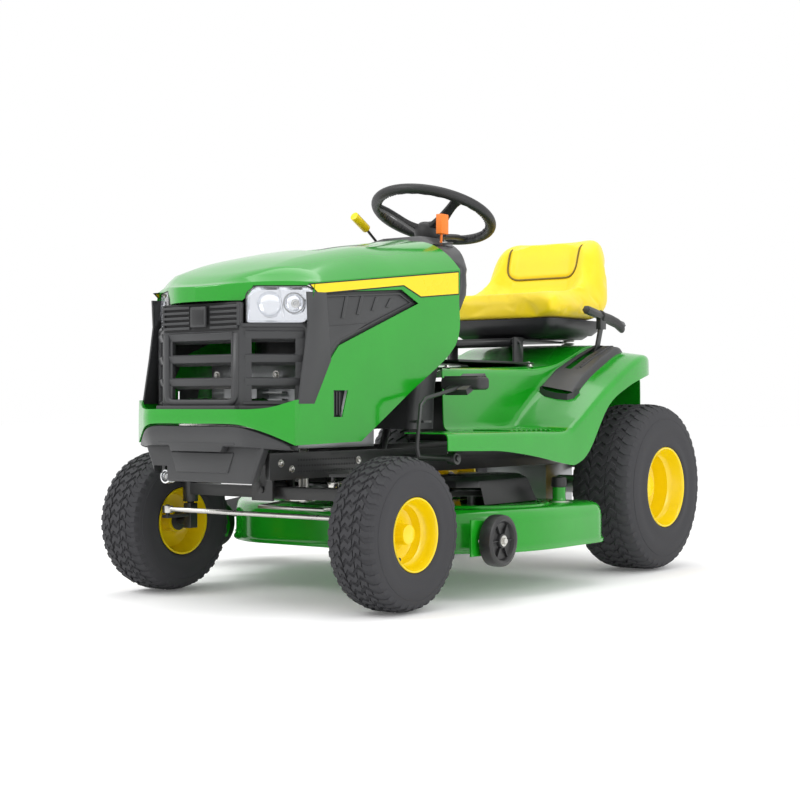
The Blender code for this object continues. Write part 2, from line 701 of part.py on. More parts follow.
def fender_deck():
    side = []
    tower = []
    for y, inner_x, inner_z, outer_x, outer_z, lip_z in DECK_ROWS:
        middle = (mix(inner_x, outer_x, 0.45), y, mix(inner_z, outer_z, 0.2))
        edge = (outer_x - 0.012, y, outer_z)
        side.append([(inner_x, y, inner_z), middle, edge, (outer_x, y, outer_z - 0.014),
                     (outer_x, y, lip_z)])
        if y >= TOWER_TOP[0][0]:
            top = between(y, TOWER_TOP)
            fronts = TOWER_FRONT.get(y, (y, y, y, y))
            columns = zip((0.0, 0.10, 0.205, 0.220), fronts, (top, top, top, top - 0.008))
            tower.append([*columns, (inner_x, y, inner_z)])
    last = DECK_ROWS[-1]
    rear = [[(0.0, 0.80, 0.615), (0.10, 0.80, 0.615), (0.205, 0.80, 0.615), (0.220, 0.80, 0.607),
             (last[1], 0.80, last[2])],
            [(0.0, 0.803, 0.45), (0.10, 0.803, 0.45), (0.205, 0.803, 0.45), (0.220, 0.803, 0.45),
             (last[1], 0.803, 0.45)]]
    shell = thickened(mirrored(loft("body", [side, tower, rear])))
    slot = box("lever_slot", (0.2615, 0.405, 0.50), (0.2785, 0.612, 0.75))
    pedal_slots = [box("pedal_slot", (x - 0.008, -0.235, 0.40), (x + 0.008, -0.135, 0.45))
                   for x in (-0.275, -0.355)]
    finish("fender_deck", cut(shell, slot, *pedal_slots), "green")


def fender_z(x, y):
    """Height of the fender's top surface."""
    inner = between(y, [(row[0], row[2]) for row in DECK_ROWS])
    outer = between(y, [(row[0], row[4]) for row in DECK_ROWS])
    near, far = 0.225, 0.408
    middle_x = mix(near, 0.420, 0.45)
    middle = mix(inner, outer, 0.2)
    if x < middle_x:
        return mix(inner, middle, (x - near) / (middle_x - near))
    return mix(middle, outer, (x - middle_x) / (far - middle_x))


def lever_quadrant():
    rows = []
    for y in (0.300, 0.380, 0.500, 0.600, 0.632):
        low_x = 0.240 if y > 0.35 else 0.262
        rows.append([(x, y, fender_z(x, y) + 0.018) for x in (low_x, 0.3127, 0.338)])
    plate = thickened(loft("bezel", [rows]), 0.010)
    slot = box("quadrant_slot", (0.2615, 0.405, 0.50), (0.2785, 0.612, 0.75))
    finish("lever_quadrant", cut(plate, slot), "charcoal")


DASH_RINGS = [  # z, half width, front y, rear y at the sides, rear y in the middle
    (0.436, 0.200, -0.290, -0.185, -0.100),
    (0.600, 0.200, -0.250, -0.140, -0.040),
    (0.800, 0.262, -0.166, -0.050, 0.035),
    (0.870, 0.262, -0.161, -0.005, 0.060),
    (0.930, 0.190, -0.155, 0.035, 0.085),
    (0.978, 0.070, -0.075, 0.065, 0.092),
]


def dash_tower():
    rings = []
    for z, half, front, side_rear, middle_rear in DASH_RINGS:
        bulge = min(0.06, half * 0.8)
        outline = [(0.75 * half, front), (half, front + 0.015), (half, side_rear),
                   (0.62 * half, mix(side_rear, middle_rear, 0.2)), (bulge * 0.9, middle_rear)]
        right = [(-x, y) for x, y in reversed(outline)]
        rings.append([(x, y, z) for x, y in outline + right])
    surface = loft("dash", [rings], closed=True)
    open_bottom(surface)
    shell = thickened(surface)
    bore = cylinder("column_bore", column_point(0.90), column_point(1.02), 0.0165, 20)
    key_bore = cylinder("key_bore", (0.12, -0.04, 0.85), (0.12, -0.04, 1.0), 0.0085, 12)
    throttle_slot = box("throttle_slot", (0.154, -0.142, 0.88), (0.166, -0.062, 1.0))
    blade_slot = box("blade_slot", (-0.156, -0.052, 0.86), (-0.144, 0.030, 1.0))
    finish("dash_tower", cut(shell, bore, key_bore, throttle_slot, blade_slot), "charcoal")


def open_bottom(item):
    shape = bmesh.new()
    shape.from_mesh(item.data)
    lowest = min(shape.faces, key=lambda face: face.calc_center_median().z)
    bmesh.ops.delete(shape, geom=[lowest], context="FACES_ONLY")
    shape.to_mesh(item.data)
    shape.free()


# ---------------------------------------------------------------- controls

def controls():
    lever = pipe("lever", [(0.16, -0.105, 0.885), (0.16, -0.098, 0.990)], 0.0040)
    knob = box("knob", (0.150, -0.112, 0.975), (0.170, -0.078, 1.030))
    finish("throttle_lever", join(lever, knob), "orange", (0.16, -0.105, 0.890))
    rod = pipe("rod", [(-0.15, 0.000, 0.880), (-0.15, 0.012, 0.980), (-0.15, -0.050, 1.022)], 0.0045)
    ball = cylinder("ball", (-0.15, -0.040, 1.016), (-0.15, -0.098, 1.048), 0.013, 12)
    finish("blade_lever", join(rod, ball), "yellow", (-0.15, 0.000, 0.885))
    stem = cylinder("stem", (0.12, -0.04, 0.915), (0.12, -0.04, 0.985), 0.0065, 12)
    bow = box("bow", (0.104, -0.043, 0.975), (0.136, -0.037, 1.000))
    finish("ignition_key", join(stem, bow), "black", (0.12, -0.04, 0.95))


def lift_lever():
    pivot = (0.27, 0.46, 0.35)
    top = (0.27, 0.608, 0.755)
    along = (Vector(top) - Vector(pivot)).normalized()
    side = Vector((0.0, -along.z, along.y)) * 0.010
    corners = [Vector(pivot) - side, Vector(top) - side, Vector(top) + side, Vector(pivot) + side]
    stem = side_slab("stem", [(point.y, point.z) for point in corners], 1, 0.2665, 0.2735)
    hub = cylinder("hub", (0.262, *pivot[1:]), (0.278, *pivot[1:]), 0.020)
    grip = pipe("grip", [(0.27, 0.512, 0.792), (0.27, 0.575, 0.782), (0.27, 0.640, 0.768),
                         (0.27, 0.740, 0.752)], 0.0135)
    collar = box("collar", (0.262, 0.588, 0.735), (0.278, 0.622, 0.775))
    bore = cylinder("bore", (0.25, *pivot[1:]), (0.29, *pivot[1:]), 0.0088, 12)
    join(stem, hub, collar, grip)
    finish("lift_lever", cut(stem, bore), "black", pivot)


def pedals():
    pivot = (0.34, -0.30, 0.362)
    rod = pipe("rod", [pivot, (0.34, -0.455, 0.372), (0.34, -0.462, 0.395), (0.34, -0.446, 0.500),
                       (0.34, -0.425, 0.517), (0.34, -0.235, 0.553)], 0.0055)
    hub = cylinder("hub", (0.328, *pivot[1:]), (0.352, *pivot[1:]), 0.017)
    pad = box("pad", (0.305, -0.050, -0.006), (0.375, 0.050, 0.010))
    pad.data.transform(Matrix.Translation((0.0, -0.245, 0.553)) @ Matrix.Rotation(0.45, 4, "X"))
    lock = box("lock_pad", (0.300, -0.440, 0.455), (0.345, -0.405, 0.461))
    lock_rod = pipe("lock_rod", [(0.34, -0.452, 0.458), (0.31, -0.425, 0.458)], 0.004)
    bore = cylinder("bore", (0.32, *pivot[1:]), (0.36, *pivot[1:]), 0.0088, 12)
    finish("brake_pedal", cut(join(rod, hub, pad, lock_rod, lock), bore), "black", pivot)
    for label, x, reach, height in (("forward", -0.275, 0.130, 0.135), ("reverse", -0.355, 0.075, 0.128)):
        drive_pedal(label, x, reach, height)


def drive_pedal(label, x, reach, height):
    pivot = Vector((x, -0.10, 0.36))
    arm = side_slab("arm", [(-0.112, 0.352), (-0.100, 0.372), (-0.150, 0.400), (-0.168, 0.400),
                            (-0.100 - reach + 0.004, 0.36 + height), (-0.100 - reach - 0.014,
                                                                      0.36 + height),
                            (-0.186, 0.386)], -1, -x - 0.004, -x + 0.004)
    hub = cylinder("hub", pivot - Vector((0.010, 0.0, 0.0)), pivot + Vector((0.010, 0.0, 0.0)), 0.016)
    pad = box("pad", (x - 0.034, -0.045, -0.006), (x + 0.034, 0.045, 0.008))
    pad.data.transform(Matrix.Translation((0.0, -0.100 - reach, 0.36 + height))
                       @ Matrix.Rotation(0.55, 4, "X"))
    bore = cylinder("bore", pivot - Vector((0.02, 0.0, 0.0)), pivot + Vector((0.02, 0.0, 0.0)),
                    0.0088, 12)
    finish(label + "_pedal", cut(join(arm, hub, pad), bore), "black", pivot)


# ---------------------------------------------------------------- seat

SEAT_HINGE = (0.0, 0.36, 0.69)
SEAT_PROFILE = [(0.405, 0.772), (0.396, 0.815), (0.425, 0.850), (0.620, 0.836), (0.680, 0.868),
                (0.735, 1.030), (0.760, 1.052), (0.790, 1.044), (0.806, 1.010), (0.790, 0.850),
                (0.755, 0.790), (0.700, 0.764)]


def seat():
    rings = []
    for x, wide in ((-0.230, 0.0), (-0.205, 0.6), (-0.150, 1.0), (0.150, 1.0), (0.205, 0.6),
                    (0.230, 0.0)):
        ring = []
        for y, z in SEAT_PROFILE:
            back = max(0.0, z - 0.90) / 0.15
            squeeze = 1.0 - 0.16 * min(1.0, back)
            centre = (0.600, 0.800) if z < 0.90 else (0.765, 0.960)
            pinch = mix(0.86, 1.0, wide)
            ring.append((x * squeeze, mix(centre[0], y, pinch), mix(centre[1], z, pinch)))
        rings.append(ring)
    finish("seat_cushion", loft("cushion", [rings], closed=True), "yellow", SEAT_HINGE)
    pan = box("pan", (-0.19, 0.430, 0.708), (0.19, 0.730, 0.757))
    for vert in pan.data.vertices:
        if vert.co.z < 0.72:
            vert.co.x *= 0.85
            vert.co.y = mix(0.58, vert.co.y, 0.85)
    bevel = pan.modifiers.new("corner", "BEVEL")
    bevel.width = 0.012
    bevel.segments = 1
    finish("seat_pan", pan, "black", SEAT_HINGE)


def seat_mounts():
    plate = box("plate", (-0.15, 0.0, 0.624), (0.15, 0.40, 0.630))
    ears = [box("ear", (s * 0.12 - 0.003, 0.335, 0.627), (s * 0.12 + 0.003, 0.385, 0.706))
            for s in (-1, 1)]
    pin = cylinder("hinge_pin", (-0.128, *SEAT_HINGE[1:]), (0.128, *SEAT_HINGE[1:]), 0.006, 12)
    finish("seat_support", join(plate, *ears, pin), "black")
    bracket = box("bracket", (-0.10, 0.350, 0.6965), (0.10, 0.660, 0.7035))
    hub = cylinder("hub", (-0.10, *SEAT_HINGE[1:]), (0.10, *SEAT_HINGE[1:]), 0.013)
    bore = cylinder("bore", (-0.12, *SEAT_HINGE[1:]), (0.12, *SEAT_HINGE[1:]), 0.0067, 12)
    finish("seat_bracket", cut(join(bracket, hub), bore), "black", SEAT_HINGE)


# ---------------------------------------------------------------- mowing deck

DECK_OUTLINE = [(0.250, -0.400), (0.360, -0.355), (0.420, -0.300), (0.460, -0.250), (0.490, -0.150),
                (0.500, -0.050), (0.500, 0.205), (0.450, 0.260), (0.150, 0.260), (-0.030, 0.220),
                (-0.210, 0.260), (-0.520, 0.260), (-0.570, 0.210), (-0.570, -0.120),
                (-0.520, -0.200), (-0.460, -0.250), (-0.420, -0.310), (-0.360, -0.360),
                (-0.280, -0.400)]


def capped_wall(name, rings):
    """An open-bottomed cover: closed rings from the top down, with a cap on the first."""
    shape = bmesh.new()
    rows = [[shape.verts.new(place) for place in ring] for ring in rings]
    shape.faces.new(rows[0])
    for upper, lower in zip(rows, rows[1:]):
        for i in range(len(upper)):
            j = (i + 1) % len(upper)
            shape.faces.new((upper[i], lower[i], lower[j], upper[j]))
    bmesh.ops.recalc_face_normals(shape, faces=shape.faces)
    top = max(shape.faces, key=lambda face: face.calc_center_median().z)
    if top.normal.z < 0:
        bmesh.ops.reverse_faces(shape, faces=shape.faces)
    return from_bmesh(name, shape)


def deck_shell():
    rings = [[(x, y, z) for x, y in DECK_OUTLINE] for z in (DECK_TOP, DECK_BOTTOM)]
    shell = thickened(capped_wall("deck", rings), 0.0035)
    for side in (-1, 1):
        wheel_x = side * SCALP_WHEEL.x
        start = (wheel_x - side * 0.100, SCALP_WHEEL.y, SCALP_WHEEL.z)
        end = (wheel_x + side * 0.025, SCALP_WHEEL.y, SCALP_WHEEL.z)
        join(shell, cylinder("axle", start, end, 0.0060, 12))
    for x in BLADES.values():
        cut(shell, cylinder("bore", (x, BLADE_Y, 0.20), (x, BLADE_Y, 0.25), 0.0135))
    cut(shell, box("discharge", (-0.60, -0.100, 0.10), (-0.55, 0.200, 0.200)))
    finish("deck_shell", shell, "green")


def blades():
    for label, x in BLADES.items():
        bar = box("bar", (x - 0.028, BLADE_Y - BLADE_REACH, 0.128), (x + 0.028, BLADE_Y + BLADE_REACH,
                                                                    0.133))
        shaft = cylinder("shaft", (x, BLADE_Y, 0.120), (x, BLADE_Y, 0.275), 0.0125)
        pulley = cylinder("pulley", (x, BLADE_Y, 0.250), (x, BLADE_Y, 0.270), DECK_PULLEY_R, 24)
        finish("blade_" + label, join(bar, shaft, pulley), "iron", (x, BLADE_Y, 0.20))


def belt_covers():
    for label, x in BLADES.items():
        rings = []
        for z, half_x, half_y in ((0.308, 0.070, 0.150), (0.296, 0.086, 0.168), (0.2320, 0.103, 0.190)):
            corner = 0.045
            ring = [(half_x, half_y - corner), (half_x - corner, half_y), (corner - half_x, half_y),
                    (-half_x, half_y - corner), (-half_x, corner - half_y),
                    (corner - half_x, -half_y), (half_x - corner, -half_y),
                    (half_x, corner - half_y)]
            rings.append([(x + px, BLADE_Y + 0.030 + py, z) for px, py in ring])
        cover = thickened(capped_wall("cover", rings))
        mouth = box("mouth", (x - 0.110, -0.24, 0.22), (x + 0.110, -0.15, 0.278))
        side = -1 if label == "left" else 1
        rear_x = sorted((x + side * 0.070, x + side * 0.115))
        passage = box("passage", (rear_x[0], -0.03, 0.22), (rear_x[1], 0.030, 0.278))
        finish("belt_cover_" + label, cut(cover, mouth, passage), "black")


def scalp_wheels():
    profile = [(0.066, 0.012), (0.066, -0.012), (0.058, -0.020), (0.0068, -0.020), (0.0068, 0.020),
               (0.058, 0.020)]
    for label, side in (("left", 1), ("right", -1)):
        place = Matrix.Translation((side * SCALP_WHEEL.x, SCALP_WHEEL.y, SCALP_WHEEL.z))
        turned_wheel = turned("scalp", profile, 24, place @ Matrix.Rotation(math.pi / 2, 4, "Y"))
        finish("scalp_wheel_" + label, turned_wheel, "black")


def discharge_deflector():
    rows = []
    for x, top, low in ((-0.582, 0.222, 0.165), (-0.690, 0.200, 0.140), (-0.800, 0.150, 0.122)):
        rows.append([(x, -0.105, low), (x, -0.100, top), (x, 0.245, top), (x, 0.250, low)])
    sheet = thickened(loft("sheet", [rows]), 0.004)
    barrel = cylinder("barrel", (-0.580, -0.090, 0.2215), (-0.580, 0.235, 0.2215), 0.0050, 12)
    finish("discharge_deflector", join(sheet, barrel), "black", (-0.580, 0.0725, 0.2215))


def deck_hanger():
    route = [(0.125, -0.360, 0.2365), (0.125, -0.450, 0.2365), (0.110, -0.552, 0.232),
             (-0.110, -0.552, 0.232), (-0.125, -0.450, 0.2365), (-0.125, -0.360, 0.2365)]
    finish("deck_hanger_front", pipe("hanger", route, 0.0055), "steel")


# ---------------------------------------------------------------- assembly

def build():
    clear_scene()
    wheels()
    frame_rails()
    front_cross_plate()
    axle_beam()
    spindles()
    linkage()
    steering_sector()
    steering()
    transaxle()
    belts()
    hitch_plate()
    engine()
    muffler()
    bay_boxes()
    hood_shell()
    hood_fittings()
    grille()
    front_bumper()
    fender_deck()
    lever_quadrant()
    dash_tower()
    controls()
    lift_lever()
    pedals()
    seat()
    seat_mounts()
    deck_shell()
    blades()
    belt_covers()
    scalp_wheels()
    discharge_deflector()
    deck_hanger()
    place = bpy.data.objects.new("mower_origin", None)
    place.location = SHIFT
    bpy.context.scene.collection.objects.link(place)
    for item in (*BODY.objects, *CUTTERS.objects):
        item.parent = place
    CUTTERS.hide_render = True


build()
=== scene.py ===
"""Riding lawn mower: the looks of every piece, modelled round its fixed frame."""

import math

import bpy
from bpy.props import FloatProperty, FloatVectorProperty, IntProperty, PointerProperty
from mathutils import Matrix, Vector


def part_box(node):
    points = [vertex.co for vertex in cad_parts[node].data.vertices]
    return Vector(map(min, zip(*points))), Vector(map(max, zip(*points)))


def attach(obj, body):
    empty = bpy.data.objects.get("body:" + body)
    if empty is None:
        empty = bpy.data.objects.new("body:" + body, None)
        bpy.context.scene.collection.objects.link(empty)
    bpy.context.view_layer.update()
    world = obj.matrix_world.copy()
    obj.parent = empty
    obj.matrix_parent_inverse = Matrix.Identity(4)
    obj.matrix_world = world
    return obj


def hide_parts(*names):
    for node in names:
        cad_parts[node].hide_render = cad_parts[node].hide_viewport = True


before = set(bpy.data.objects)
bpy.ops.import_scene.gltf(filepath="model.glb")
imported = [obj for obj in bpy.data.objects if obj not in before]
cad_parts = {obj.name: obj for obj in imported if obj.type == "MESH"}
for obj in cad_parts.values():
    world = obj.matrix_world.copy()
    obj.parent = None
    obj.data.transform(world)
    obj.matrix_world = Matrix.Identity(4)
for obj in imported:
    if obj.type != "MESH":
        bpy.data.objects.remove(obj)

bl_info = {
    "name": "Riding Lawn Mower",
    "version": (1, 0, 0),
    "blender": (4, 5, 0),
    "location": "3D View > Sidebar > Mower",
    "description": "Models the panels, tyres, seat, controls and deck of a riding lawn mower",
    "category": "Add Mesh",
}

# Pieces are modelled about the machine's own centre plane and settled into the frame by CENTRE.
AXLE_Y = 0.62
HOOD_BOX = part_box("hood_shell")
REAR_TYRE_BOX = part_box("tyre_rear_left")
CENTRE = Vector(((HOOD_BOX[0][0] + HOOD_BOX[1][0]) / 2,
                 (REAR_TYRE_BOX[0][1] + REAR_TYRE_BOX[1][1]) / 2 - AXLE_Y, 0.0))
FRONT_HUB_Z = (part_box("tyre_front_left")[0][2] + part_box("tyre_front_left")[1][2]) / 2
REAR_HUB_Z = (REAR_TYRE_BOX[0][2] + REAR_TYRE_BOX[1][2]) / 2
SIDES = (("left", 1), ("right", -1))


# ---------------------------------------------------------------- lines

def mix(a, b, t):
    return a + (b - a) * t


def ease(low, high, value):
    """0 below low, 1 above high, and smooth between."""
    t = min(1.0, max(0.0, (value - low) / (high - low)))
    return t * t * (3.0 - 2.0 * t)


def table(value, rows):
    """Read a table of (key, figures...) rows at any value, in straight lines between rows."""
    if value <= rows[0][0]:
        row = rows[0]
    elif value >= rows[-1][0]:
        row = rows[-1]
    else:
        for first, second in zip(rows, rows[1:]):
            if value <= second[0]:
                t = (value - first[0]) / (second[0] - first[0])
                row = [mix(a, b, t) for a, b in zip(first, second)]
                break
    return row[1] if len(row) == 2 else row[1:]


def run(points, steps):
    """A smooth line through the points, with so many spans between neighbours."""
    line = []
    last = len(points) - 1
    for i in range(last):
        a, b, c, d = points[max(i - 1, 0)], points[i], points[i + 1], points[min(i + 2, last)]
        for k in range(steps):
            t = k / steps
            line.append(tuple(
                0.5 * (2 * q + (r - p) * t + (2 * p - 5 * q + 4 * r - s) * t * t
                       + (3 * q - p - 3 * r + s) * t ** 3)
                for p, q, r, s in zip(a, b, c, d)))
    line.append(tuple(points[-1]))
    return line


def rounded(points, radius, steps=4, closed=False):
    """The points with their corners rounded; radius is one figure or one for each point."""
    line = []
    count = len(points)
    for i in range(count):
        here = Vector(points[i])
        if not closed and i in (0, count - 1):
            line.append(here)
            continue
        before, after = Vector(points[i - 1]), Vector(points[(i + 1) % count])
        size = radius[i] if isinstance(radius, (list, tuple)) else radius
        reach = min(size, 0.46 * (before - here).length, 0.46 * (after - here).length)
        start = here + (before - here).normalized() * reach
        end = here + (after - here).normalized() * reach
        for k in range(steps + 1):
            t = k / steps
            line.append(start * (1 - t) ** 2 + here * 2 * t * (1 - t) + end * t * t)
    return line


def grown(outline, amount):
    """A closed plan outline, running anticlockwise, moved outwards."""
    count = len(outline)
    moved = []
    for i in range(count):
        a, b, c = (Vector(outline[j % count][:2]) for j in (i - 1, i, i + 1))
        first, second = (b - a).normalized(), (c - b).normalized()
        normal = Vector((first.y + second.y, -first.x - second.x))
        normal.normalize()
        along = max(0.4, normal.dot(Vector((first.y, -first.x))))
        moved.append(tuple(b + normal * (amount / along)))
    return moved


# ---------------------------------------------------------------- workshop

def only(item):
    bpy.ops.object.select_all(action="DESELECT")
    item.select_set(True)
    bpy.context.view_layer.objects.active = item


def apply(item, kind, **settings):
    only(item)
    modifier = item.modifiers.new(kind.lower(), kind)
    for key, value in settings.items():
        setattr(modifier, key, value)
    bpy.ops.object.modifier_apply(modifier=modifier.name)
    return item


def weld(item, distance=0.00005):
    """Merge doubled points and turn the faces outwards."""
    only(item)
    bpy.ops.object.mode_set(mode="EDIT")
    bpy.ops.mesh.select_all(action="SELECT")
    bpy.ops.mesh.remove_doubles(threshold=distance)
    bpy.ops.mesh.normals_make_consistent(inside=False)
    bpy.ops.object.mode_set(mode="OBJECT")
    return item


def joined(items):
    bpy.ops.object.select_all(action="DESELECT")
    for item in items:
        item.select_set(True)
    bpy.context.view_layer.objects.active = items[0]
    bpy.ops.object.join()
    return items[0]


def cut(item, *cutters):
    for cutter in cutters:
        apply(item, "BOOLEAN", object=cutter, operation="DIFFERENCE", solver="EXACT")
        bpy.data.objects.remove(cutter, do_unlink=True)
    return item


def soft_edges(item, width, segments=2, angle=30):
    return apply(item, "BEVEL", width=width, segments=segments, limit_method="ANGLE",
                 angle_limit=math.radians(angle), use_clamp_overlap=True,
                 harden_normals=False)


def skin(rows, closed=False):
    """A sheet through rows of points, each row as long as the others."""
    if closed:
        rows = [[*row, row[0]] for row in rows]
    bpy.ops.mesh.primitive_grid_add(x_subdivisions=len(rows[0]) - 1, y_subdivisions=len(rows) - 1)
    item = bpy.context.object
    for vertex, point in zip(item.data.vertices, [point for row in rows for point in row]):
        vertex.co = point
    return item


def mirrored(item):
    return apply(item, "MIRROR", use_axis=(True, False, False), use_clip=True,
                 merge_threshold=0.0002)


def thick(item, wall):
    return apply(weld(item), "SOLIDIFY", thickness=wall, offset=-1.0)


def block(low, high, edge=0.002):
    size = [b - a for a, b in zip(low, high)]
    middle = [(a + b) / 2 for a, b in zip(low, high)]
    bpy.ops.mesh.primitive_cube_add(size=1.0, location=middle, scale=size)
    item = bpy.context.object
    bpy.ops.object.transform_apply(location=True, rotation=True, scale=True)
    return soft_edges(item, min(edge, 0.4 * min(size))) if edge else item


def post(start, end, radius, sides=24, edge=0.001, end_radius=None):
    start, end = Vector(start), Vector(end)
    far = radius if end_radius is None else end_radius
    bpy.ops.mesh.primitive_cone_add(
        vertices=sides, radius1=radius, radius2=far, depth=(end - start).length,
        location=(start + end) / 2, rotation=(end - start).to_track_quat("Z", "Y").to_euler())
    item = bpy.context.object
    bpy.ops.object.transform_apply(location=True, rotation=True, scale=True)
    return soft_edges(item, edge, angle=40) if edge else item


def rod(points, radius, closed=False, resolution=3):
    curve = bpy.data.curves.new("rod", "CURVE")
    curve.dimensions = "3D"
    curve.bevel_depth = radius
    curve.bevel_resolution = resolution
    curve.use_fill_caps = not closed
    spline = curve.splines.new("POLY")
    spline.points.add(len(points) - 1)
    for spot, point in zip(spline.points, points):
        spot.co = (*point, 1.0)
    spline.use_cyclic_u = closed
    item = bpy.data.objects.new("rod", curve)
    bpy.context.collection.objects.link(item)
    only(item)
    bpy.ops.object.convert(target="MESH")
    return weld(bpy.context.object)


def sketch(points, edges=(), faces=()):
    mesh = bpy.data.meshes.new("sketch")
    mesh.from_pydata([tuple(point) for point in points], edges, faces)
    item = bpy.data.objects.new("sketch", mesh)
    bpy.context.collection.objects.link(item)
    return item


PLANES = {"Z": lambda a, b, c: (a, b, c), "X": lambda a, b, c: (c, a, b),
          "Y": lambda a, b, c: (a, c, b)}


def slab(outline, low, high, axis="Z", edge=0.0, segments=2):
    """An outline drawn across an axis and extruded along it."""
    put = PLANES[axis]
    item = sketch([put(p[0], p[1], low) for p in outline], (), [tuple(range(len(outline)))])
    only(item)
    bpy.ops.object.mode_set(mode="EDIT")
    bpy.ops.mesh.select_all(action="SELECT")
    bpy.ops.mesh.extrude_region_move(TRANSFORM_OT_translate={"value": put(0, 0, high - low)})
    bpy.ops.object.mode_set(mode="OBJECT")
    weld(item)
    return soft_edges(item, edge, segments) if edge else item


def turned(profile, centre, axis="X", side=1, steps=64, closed=False):
    """Spin a (radius, offset) profile round an axis through centre."""
    if axis == "X":
        points = [Vector((side * off, 0.0, r)) for r, off in profile]
    else:
        points = [Vector((r, 0.0, off)) for r, off in profile]
    count = len(points)
    edges = [(i, i + 1) for i in range(count - 1)] + ([(count - 1, 0)] if closed else [])
    item = sketch([point + Vector(centre) for point in points], edges)
    only(item)
    bpy.ops.object.mode_set(mode="EDIT")
    bpy.ops.mesh.select_all(action="SELECT")
    bpy.ops.mesh.spin(steps=steps, angle=2 * math.pi, center=centre,
                      axis=(1, 0, 0) if axis == "X" else (0, 0, 1))
    bpy.ops.object.mode_set(mode="OBJECT")
    return weld(item)


def from_frame(node, edge=0.0015, segments=2, angle=30):
    """A welded copy of a frame piece, with its edges softened."""
    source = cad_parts[node]
    item = bpy.data.objects.new(node + "_copy", source.data.copy())
    bpy.context.collection.objects.link(item)
    item.data.transform(Matrix.Translation(-CENTRE))
    item.data.materials.clear()
    weld(item)
    only(item)
    bpy.ops.object.mode_set(mode="EDIT")
    bpy.ops.mesh.select_all(action="SELECT")
    bpy.ops.mesh.dissolve_limited(angle_limit=math.radians(1.5))
    bpy.ops.object.mode_set(mode="OBJECT")
    return soft_edges(item, edge, segments, angle) if edge else item


def moved(item, matrix):
    item.data.transform(matrix)
    if matrix.determinant() < 0:
        item.data.flip_normals()
    return item


def copied(item, matrix=None):
    twin = bpy.data.objects.new(item.name, item.data.copy())
    bpy.context.collection.objects.link(twin)
    return moved(twin, matrix) if matrix else twin


FLIP = Matrix.Scale(-1, 4, (1, 0, 0))


def painted(item, finish):
    item.data.materials.clear()
    item.data.materials.append(bpy.data.materials[finish])
    return item


def settled(item, name, body, finish=None, stands_for=(), smooth=35):
    """Set a finished piece into the frame, on the body that it rides with."""
    only(item)
    bpy.ops.object.transform_apply(location=True, rotation=True, scale=True)
    item.data.transform(Matrix.Translation(CENTRE))
    item.name = item.data.name = name
    if finish:
        painted(item, finish)
    only(item)
    bpy.ops.object.shade_smooth_by_angle(angle=math.radians(smooth))
    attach(item, body)
    if stands_for:
        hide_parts(*([stands_for] if isinstance(stands_for, str) else stands_for))
    return item


# ---------------------------------------------------------------- finishes

def sockets(group, kind, *names):
    for name, value in names:
        if name == "Vector" or name == "Normal":
            group.interface.new_socket(name, in_out=kind, socket_type="NodeSocketVector")
        else:
            socket = group.interface.new_socket(name, in_out=kind, socket_type="NodeSocketFloat")
            if kind == "INPUT":
                socket.default_value = value


def noise_group(name, build, *inputs, output="Mask"):
    group = bpy.data.node_groups.new(name, "ShaderNodeTree")
    sockets(group, "INPUT", ("Vector", None), *inputs)
    sockets(group, "OUTPUT", (output, None))
    ends = group.nodes.new("NodeGroupInput"), group.nodes.new("NodeGroupOutput")
    build(group, *ends)
    return group


def wired(tree, kind, links=(), **values):
    """A node with its sockets set by name and fed by (socket, output) pairs."""
    node = tree.nodes.new(kind)
    for key, value in values.items():
        if hasattr(node, key) and key not in node.inputs:
            setattr(node, key, value)
        else:
            node.inputs[key.replace("_", " ")].default_value = value
    for socket, source in links:
        tree.links.new(source, node.inputs[socket])
    return node


def moulded_grain(group, start, end):
    """Fine leather-like cells with a little noise between them."""
    cells = wired(group, "ShaderNodeTexVoronoi", [("Vector", start.outputs["Vector"]),
                                                  ("Scale", start.outputs["Scale"])])
    speckle = wired(group, "ShaderNodeTexNoise", [("Vector", start.outputs["Vector"]),
                                                  ("Scale", start.outputs["Scale"])], Detail=3.0)
    both = wired(group, "ShaderNodeMath", [(0, cells.outputs["Distance"]),
                                           (1, speckle.outputs["Fac"])], operation="ADD")
    half = wired(group, "ShaderNodeMath", [(0, both.outputs[0])], operation="MULTIPLY")
    half.inputs[1].default_value = 0.5
    group.links.new(half.outputs[0], end.inputs["Height"])


def soft_mottle(group, start, end):
    """Broad, slow variation such as handling, fading and dust leave."""
    broad = wired(group, "ShaderNodeTexNoise", [("Vector", start.outputs["Vector"]),
                                                ("Scale", start.outputs["Scale"])],
                  Detail=5.0, Roughness=0.6)
    limits = wired(group, "ShaderNodeMapRange", [("Value", broad.outputs["Fac"])])
    limits.inputs["From Min"].default_value = 0.35
    limits.inputs["From Max"].default_value = 0.68
    group.links.new(limits.outputs["Result"], end.inputs["Mask"])


def low_dust(group, start, end):
    """Dust that gathers towards the ground, broken up by noise."""
    split = wired(group, "ShaderNodeSeparateXYZ", [("Vector", start.outputs["Vector"])])
    height = wired(group, "ShaderNodeMapRange", [("Value", split.outputs["Z"]),
                                                 ("From Max", start.outputs["Reach"])])
    height.inputs["To Min"].default_value = 1.0
    height.inputs["To Max"].default_value = 0.0
    cloud = wired(group, "ShaderNodeTexNoise", [("Vector", start.outputs["Vector"])],
                  Scale=18.0, Detail=6.0, Roughness=0.7)
    mask = wired(group, "ShaderNodeMath", [(0, height.outputs["Result"]),
                                           (1, cloud.outputs["Fac"])], operation="MULTIPLY")
    amount = wired(group, "ShaderNodeMath", [(0, mask.outputs[0]),
                                             (1, start.outputs["Amount"])], operation="MULTIPLY")
    group.links.new(amount.outputs[0], end.inputs["Mask"])


